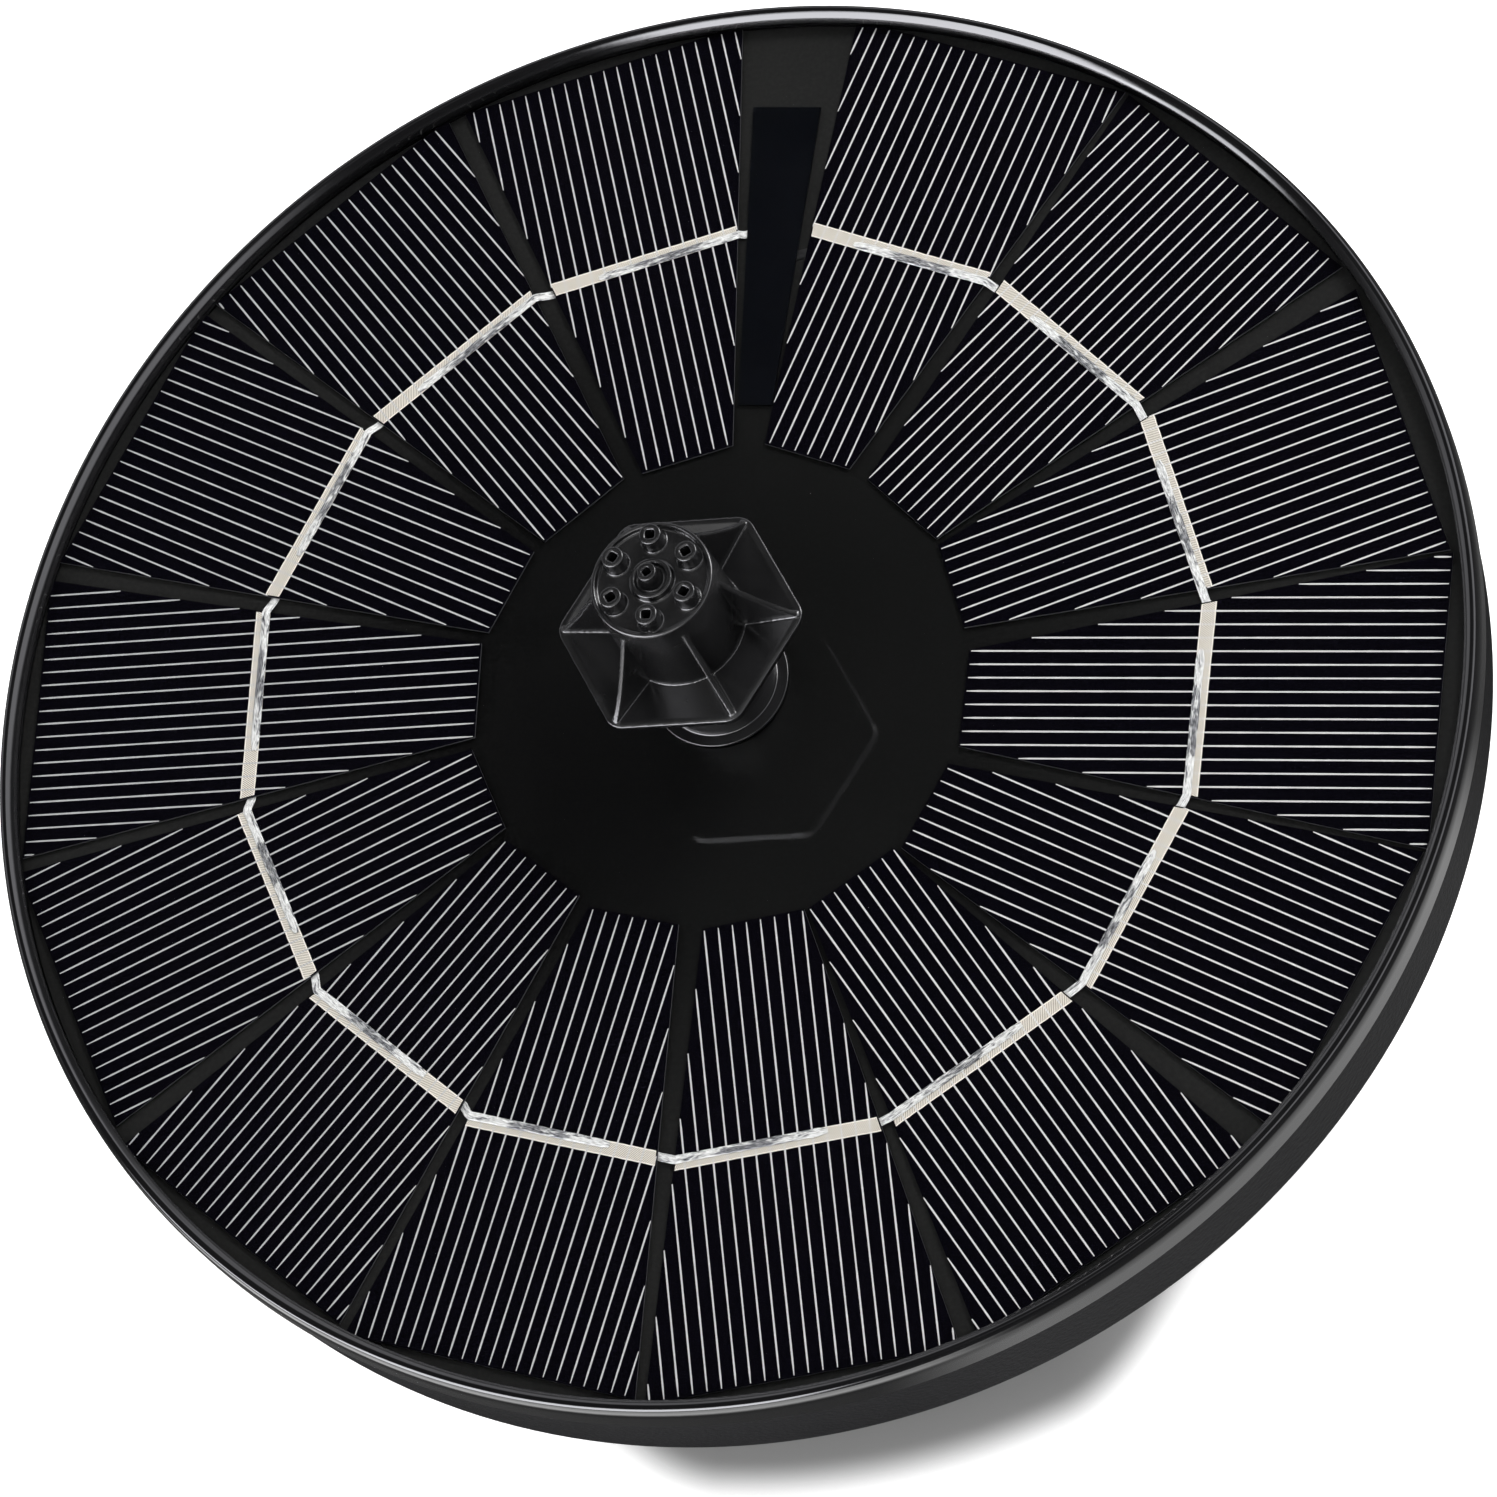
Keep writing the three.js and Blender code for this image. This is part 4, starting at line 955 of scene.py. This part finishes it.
def head_ribs():
    crest = [tuple(q) for q in smooth_path(RIB_CREST, step=0.4)]
    outline = [(5.5, 63.2), *crest, (13.1, 52.0), (5.5, 52.0)]
    ribs = []
    for k in range(6):
        rib = prism(outline, -0.3, 0.3)
        rib.data.transform(Matrix.Rotation(math.radians(90), 4, "X"))
        rib.data.transform(Matrix.Rotation(math.radians(HEX_TURN + 30 + 60 * k), 4, "Z"))
        ribs.append(rib)
    return ribs


def nozzle_head():
    """Flange, tapered tower with six ribs, six spouts in a ring and one in the middle."""
    flange = head_flange()
    tower = lathe("tool", [
        (0, 51.15), (6.15, 51.15), (6.45, 51.45), (6.95, 51.85), (6.71, 63.86),
        (6.60, 64.06), (6.24, 64.06), (6.10, 63.56), (0, 63.56),
    ], seg=128, on_axis=True)
    spouts, jets = [], []
    for k in range(6):
        angle = JET_ANGLE - 60 * k
        place = polar(JET_R, angle)
        spouts.append(drum(1.34, 63.3, 65.46, place, top_r=1.2, n=40))
        jets.append(block((-0.5, 0.5), (-0.5, 0.5), (61, 67), turn=angle + 90, at=place))
    boss = csg(drum(2.35, 63.3, 64.41, n=56), cut=[drum(1.75, 63.8, 66, n=48)])
    spouts += [boss, drum(1.25, 63.3, 66.0, top_r=1.05, n=40)]
    jets.append(block((-0.42, 0.42), (-0.42, 0.42), (61, 67), turn=30))
    bores = [drum(4.25, 50, 55.2, n=64), drum(5.5, 55.1, 62.1, n=64)]
    head = csg(flange, add=[tower, *head_ribs(), *spouts], cut=[*bores, *jets])
    soften(head, voxel=0.12, rounds=3)
    return piece(head, "nozzle_head", "nozzle_plastic", "nozzle_head", angle=None)


# ------------------------------------------------------------------ pump and strainer
STRAINER_R = 29.5


def riser_channel(half_width, z0, z1):
    """Straight channel along X that ends at the riser."""
    return block((0, RISER[0]), (RISER[1] - half_width, RISER[1] + half_width), (z0, z1))


def pump_housing():
    housing = lathe("housing_shell", [
        (24.4, 9.6, 0.2), (26.0, 9.6, 0.3), (26.0, 16.2, 0.3), (27.6, 16.4, 0.4),
        (27.6, 19.8, 0.25), (37.5, 19.8, 0.45), (37.5, 21.95, 0.35), (30.3, 21.95, 0.1),
        (30.3, 20.65), (28.1, 20.65), (28.1, 21.95, 0.1), (26.0, 21.95, 0.3),
        (26.0, 24.2, 0.3), (24.4, 24.2, 0.3), (24.4, 15.4, 0.5), (2, 15.4), (2, 14.0),
        (24.4, 14.0, 0.4),
    ], seg=160, steps=4)
    csg(housing, add=[
        csg(drum(17.1, 15.1, 26.6, n=96), cut=[drum(15.6, 15.0, 27, n=96)]),
        drum(7.8, 14.0, 26.6, n=72),
        drum(4.2, 15.1, 26.6, RISER, n=40),
        drum(14.5, 9.2, 14.5, n=96),
        riser_channel(RISER_WALL, 9.2, 14.5),
        drum(RISER_WALL, 9.2, 14.5, RISER, n=40),
    ], cut=[
        drum(13.0, 7.2, 14.0, n=96),
        riser_channel(RISER_BORE, 10.2, 14.0),
        drum(RISER_BORE, 10.2, 27.6, RISER, n=40),
        drum(6.4, 13.0, 25.6, n=72),
        *drums(SCREW_PLACES, 1.75, 18.8, 23, n=32),
    ])
    piece(housing, "raft", "pump_plastic", "pump_housing")


def side_slot(degrees):
    """Rounded (y, z) outline run outward along X, then turned about Z."""
    slot = prism(rounded_box((-1.35, 1.35), (3.4, 14.2), 1.2, steps=6), 25, 32)
    # (x, y, z) becomes (z, x, y)
    slot.data.transform(Matrix(((0, 0, 1, 0), (1, 0, 0, 0), (0, 1, 0, 0), (0, 0, 0, 1))))
    slot.data.transform(Matrix.Rotation(math.radians(degrees), 4, "Z"))
    return slot


def strainer_shell():
    """Cup with slots in its wall and floor, and short ribs above, between the wall slots."""
    cup = lathe("strainer_shell", [
        (0, 0), (STRAINER_R, 0, 1.0), (STRAINER_R, 19.2, 0.4), (27.9, 19.2, 0.3),
        (27.9, 1.6, 0.6), (0, 1.6),
    ], seg=192, on_axis=True, steps=6)
    slots = [side_slot(15 * (k + 0.5)) for k in range(24)]
    floor_slot = rounded_box((9.5, 21.5), (-1.1, 1.1), 1.0, steps=6)
    slots += [prism(turned(floor_slot, 30 * k + 15), -1, 3) for k in range(12)]
    ribs = [
        block((29.2, STRAINER_R + 0.28), (-0.35, 0.35), (14.9, 18.3), turn=15 * k, corner=0.12)
        for k in range(24)
    ]
    csg(cup, add=ribs, cut=slots)
    soften(cup, voxel=0.24, rounds=2)
    piece(cup, "strainer", "strainer_plastic", "strainer_cover", angle=None)


def intake_plate():
    """Plate under the housing: an open eye with a three-armed hub in it."""
    plate = csg(drum(16.0, 7.4, 8.9, n=96, name="intake_plate"), add=[
        drum(12.75, 8.7, 9.45, n=96),
        riser_channel(RISER_WALL, 7.4, 8.9),
        drum(RISER_WALL, 7.4, 8.9, RISER, n=40),
    ], cut=[drum(5.6, 6, 11, n=64)])
    arms = [block((1.9, 6.1), (-0.6, 0.6), (7.4, 8.9), turn=g) for g in (30, 150, 270)]
    hub = drum(2.5, 7.4, 8.9, n=40)
    csg(plate, add=[*arms, hub], cut=[drum(1.95, 7.8, 11, n=40), drum(1.1, 6, 9, n=32)])
    piece(plate, "raft", "pump_plastic", "volute_cover")


def machine_screw(k, place):
    """Screw standing head down, with a cross recess."""
    screw = lathe(f"machine_screw_{k + 1}", [
        (0, 18.0), (1.9, 18.0, 0.5), (2.75, 18.7, 0.4), (2.75, 19.7, 0.1),
        (1.45, 19.7, 0.15), (1.45, 28.3, 0.2), (0.5, 29.1), (0, 29.1),
    ], seg=64, on_axis=True, at=place)
    long, short, depth = (-1.7, 1.7), (-0.32, 0.32), (17, 18.9)
    csg(screw, cut=[
        block(x_span, y_span, depth, turn=20 * k + 10, corner=0.15, at=place)
        for x_span, y_span in ((long, short), (short, long))
    ])
    piece(screw, "raft", "stainless_screw", f"screw_{k + 1}")


def crossover_duct():
    """Joins the riser to the central outlet."""
    duct = lathe("crossover_duct", [
        (0, 26.65), (7.4, 26.65, 0.3), (7.4, 31.9, 0.5), (5.0, 31.9, 0.3),
        (5.0, 42.0, 0.3), (0, 42.0),
    ], seg=96, on_axis=True)
    csg(duct, add=[
        block((0, RISER_R), (-4.2, 4.2), (26.65, 31.9), turn=RISER_ANGLE),
        drum(4.2, 26.65, 31.9, RISER, n=48),
    ], cut=[
        block((0, RISER_R), (-RISER_BORE, RISER_BORE), (27.9, 30.9), turn=RISER_ANGLE),
        drum(RISER_BORE, 25.6, 30.9, RISER, n=48),
        drum(3.2, 27.9, 43, n=48),
    ])
    piece(duct, "raft", "pump_plastic", "outlet_duct")


def seals():
    gland = lathe("duct_gland", [
        (5.15, 34.2, 0.2), (6.9, 34.2, 0.2), (6.9, 35.6, 0.3), (6.5, 36.05, 0.25),
        (5.6, 36.05, 0.25), (5.15, 35.6, 0.2),
    ], seg=96)
    piece(gland, "raft", "seal_rubber", "outlet_seal")
    section = [
        (29.2 + 0.58 * math.cos(k * math.pi / 8), 21.32 + 0.58 * math.sin(k * math.pi / 8))
        for k in range(16)
    ]
    oring = lathe("housing_oring", section, seg=128)
    piece(oring, "raft", "seal_rubber", "housing_seal", angle=None)


# ------------------------------------------------------------------ build the pieces
frame_shell()
hull_shell()
board_film()
cover_sheet()
cells = [CellFrame(*row) for row in CELLS]
for k, cell in enumerate(cells):
    print_fingers(f"{k + 1:02d}", cell)
    print_busbar(f"{k + 1:02d}", cell)
for k, (cell, following) in enumerate(zip(cells, [*cells[1:], None])):
    ribbon(k, cell, following)
stem = nozzle_stem()
head = nozzle_head()
pump_housing()
strainer_shell()
intake_plate()
for k, place in enumerate(SCREW_PLACES):
    machine_screw(k, place)
crossover_duct()
seals()

# CAD nodes kept as they are, with their material
CAD_FINISHES = {
    "gap_strip": "insulating_strip", "lead_positive": "wire_red", "lead_negative": "wire_black",
    "stator_core": "electrical_steel", "controller_board": "circuit_board",
    "shaft": "ceramic_bearing", "top_bush": "ceramic_bearing", "bottom_bush": "ceramic_bearing",
    "rotor_magnet": "ferrite", "impeller": "impeller_plastic", "sponge_filter": "filter_foam",
    **{f"coil_{k + 1}": "copper_winding" for k in range(4)},
    **{f"cell_{k + 1:02d}": "solar_cell" for k in range(14)},
}
for name, material in CAD_FINISHES.items():
    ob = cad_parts[name]
    ob.data.materials.clear()
    ob.data.materials.append(MATERIALS[material])
    shade(ob.data, angle=32)


# ------------------------------------------------------------------ studio (metres, degrees)
def studio_floor(mat):
    """White table, lifted to full white for the camera outside the contact shadow; in front the
    paper itself is painted darker, a painted shadow under the rim.

    Mirror-like surfaces see it as a dark table with two glowing patches, painted light that only
    reflections show.
    """
    x, y, _ = mat.xyz(mat.place)
    radius = mat.plan_radius(x, y)
    azimuth = mat.azimuth(x, y)
    front = mat.window(azimuth, low=-108, high=-60, soft=10)
    start = mat.span(front, over=(0, 1), to=(0.068, 0.0765))
    from_start = mat.math("SUBTRACT", radius, start)
    lift = mat.span(from_start, over=(0.0, 0.0065), smooth=True)
    paper = mat.mix(mat.noise(size=60), grey(0.84), grey(0.90))
    # painted shadow: darker paper in the front, under the rim
    paper = mat.mix(mat.times(mat.inverse(lift), front), paper, grey(0.46))
    path = mat.node("LightPath")
    glow = mat.times(mat.times(lift, path["Is Camera Ray"]), 0.85)
    table = mat.principled(
        paper, 0.8, mat.bump(mat.noise(size=1.5), depth=0.02), specular=0.1,
        more={"Emission Color": grey(1.0), "Emission Strength": glow},
    )
    # painted light for reflections: two glowing patches on the table
    far_left = mat.times(
        mat.window(azimuth, low=-150, high=-76, soft=8),
        mat.span(radius, over=(0.108, 0.132), smooth=True),
    )
    near_right = mat.times(
        mat.window(azimuth, low=-76, high=-8, soft=8),
        mat.window(radius, low=0.086, high=0.128, soft=0.010),
    )
    patches = mat.add(mat.times(far_left, 4.0), mat.times(near_right, 0.80))
    sheen = mat.node("Emission", {"Strength": mat.add(0.12, patches)})[0]
    top = mat.mix_shader(path["Is Glossy Ray"], table, sheen)
    # see-through from below, so that the underside can be looked at
    below = mat.node("NewGeometry")["Backfacing"]
    mat.show(mat.mix_shader(below, top, mat.node("BsdfTransparent")[0]))


bpy.ops.mesh.primitive_plane_add(size=6.0, location=(0, 0, -0.0004))
floor = bpy.context.object
floor.name = "studio_floor_plane"
make_material("studio_floor", studio_floor)
floor.data.materials.append(MATERIALS["studio_floor"])

# azimuth low, high, softness; elevation low, high, softness; power
SOFT_BOXES = (
    (-154, -97, 5, 8, 52, 6, 16.0),  # front left
    (-170, -152, 4, 0, 24, 4, 12.0),  # left
    (-46, 72, 12, 28, 58, 6, 2.8),  # right
    (66, 170, 10, 4, 38, 5, 1.3),  # back
    (-400, 400, 1, 84, 120, 2, 0.8),  # overhead, all round
)


def studio_world():
    """Even white light; mirror-like surfaces see pale walls, a dark ceiling and soft boxes."""
    world = bpy.data.worlds.new("studio")
    scene.world = world
    world.use_nodes = True
    sky = Graph(world.node_tree)
    x, y, z = sky.xyz(sky.node("TexCoord")["Generated"])
    elevation = sky.times(sky.math("ARCSINE", z), 57.29578)
    azimuth = sky.azimuth(x, y)
    wall = sky.window(elevation, low=-90, high=38, soft=8)
    total = sky.add(sky.times(wall, 0.10), 0.006)
    for *edges, power in SOFT_BOXES:
        box = sky.times(sky.window(azimuth, *edges[:3]), sky.window(elevation, *edges[3:]))
        total = sky.add(total, sky.times(box, power))
    mirrored = sky.node("Background", {"Color": (0.95, 0.95, 1.0), "Strength": total})[0]
    plain = sky.node("Background", {"Color": grey(1.0), "Strength": 1.0})[0]
    glossy_ray = sky.node("LightPath")["Is Glossy Ray"]
    sky.node("OutputWorld", {"Surface": sky.mix_shader(glossy_ray, plain, mirrored)})
    world.cycles.sampling_method = "NONE"


def area(name, where, size, power, aim, colour=(1, 1, 1), glossy=True):
    light = bpy.data.lights.new(name, "AREA")
    light.shape = "DISK"
    light.size = size
    light.energy = power
    light.color = colour
    ob = bpy.data.objects.new(name, light)
    scene.collection.objects.link(ob)
    ob.location = where
    ob.rotation_mode = "QUATERNION"
    ob.rotation_quaternion = (Vector(aim) - Vector(where)).to_track_quat("-Z", "Y")
    ob.visible_glossy = glossy
    return ob


def nozzle_light(name, azimuth, elevation, power, distance=0.5):
    """Small soft box that lights only the nozzle."""
    turn, rise = math.radians(azimuth), math.radians(elevation)
    where = (
        distance * math.cos(rise) * math.cos(turn),
        distance * math.cos(rise) * math.sin(turn),
        0.05 + distance * math.sin(rise),
    )
    ob = area(name, where, size=0.25, power=power, aim=(0, 0, 0.055))
    ob.light_linking.receiver_collection = nozzle_only


studio_world()
nozzle_only = bpy.data.collections.new("nozzle_only")
for ob in (stem, head):
    nozzle_only.objects.link(ob)
nozzle_light("nozzle_side", azimuth=40, elevation=28, power=3.2)
nozzle_light("nozzle_front", azimuth=-78, elevation=42, power=1.1)
nozzle_light("nozzle_top", azimuth=150, elevation=80, power=0.30)
area("key_soft", (0.42, 0.40, 0.62), size=0.30, power=4.0, aim=(0, 0, 0.03),
     colour=(1.0, 0.995, 0.99), glossy=False)

# the camera's own directions and its place
CAMERA_RIGHT = (0.96450049, -0.01559321, -0.26362028)
CAMERA_UP = (0.12112546, 0.91317895, 0.38914372)
CAMERA_BACK = (0.23466448, -0.40726044, 0.88265028)
CAMERA_PLACE = (0.1680, -0.2946, 0.6573)


def camera():
    data = bpy.data.cameras.new("photo_camera")
    data.lens = 156.2
    data.sensor_width = 36.0
    data.clip_start = 0.02
    data.clip_end = 50.0
    ob = bpy.data.objects.new("photo_camera", data)
    scene.collection.objects.link(ob)
    pose = Matrix((CAMERA_RIGHT, CAMERA_UP, CAMERA_BACK)).transposed().to_4x4()
    pose.translation = CAMERA_PLACE
    ob.matrix_world = pose
    scene.camera = ob


camera()
scene.view_settings.view_transform = "Standard"
scene.view_settings.look = "None"
scene.view_settings.exposure = 0.0
scene.view_settings.gamma = 1.0
scene.cycles.max_bounces = 6
scene.cycles.diffuse_bounces = 2
scene.cycles.glossy_bounces = 3
scene.cycles.transparent_max_bounces = 8
scene.cycles.caustics_reflective = False
scene.cycles.caustics_refractive = False
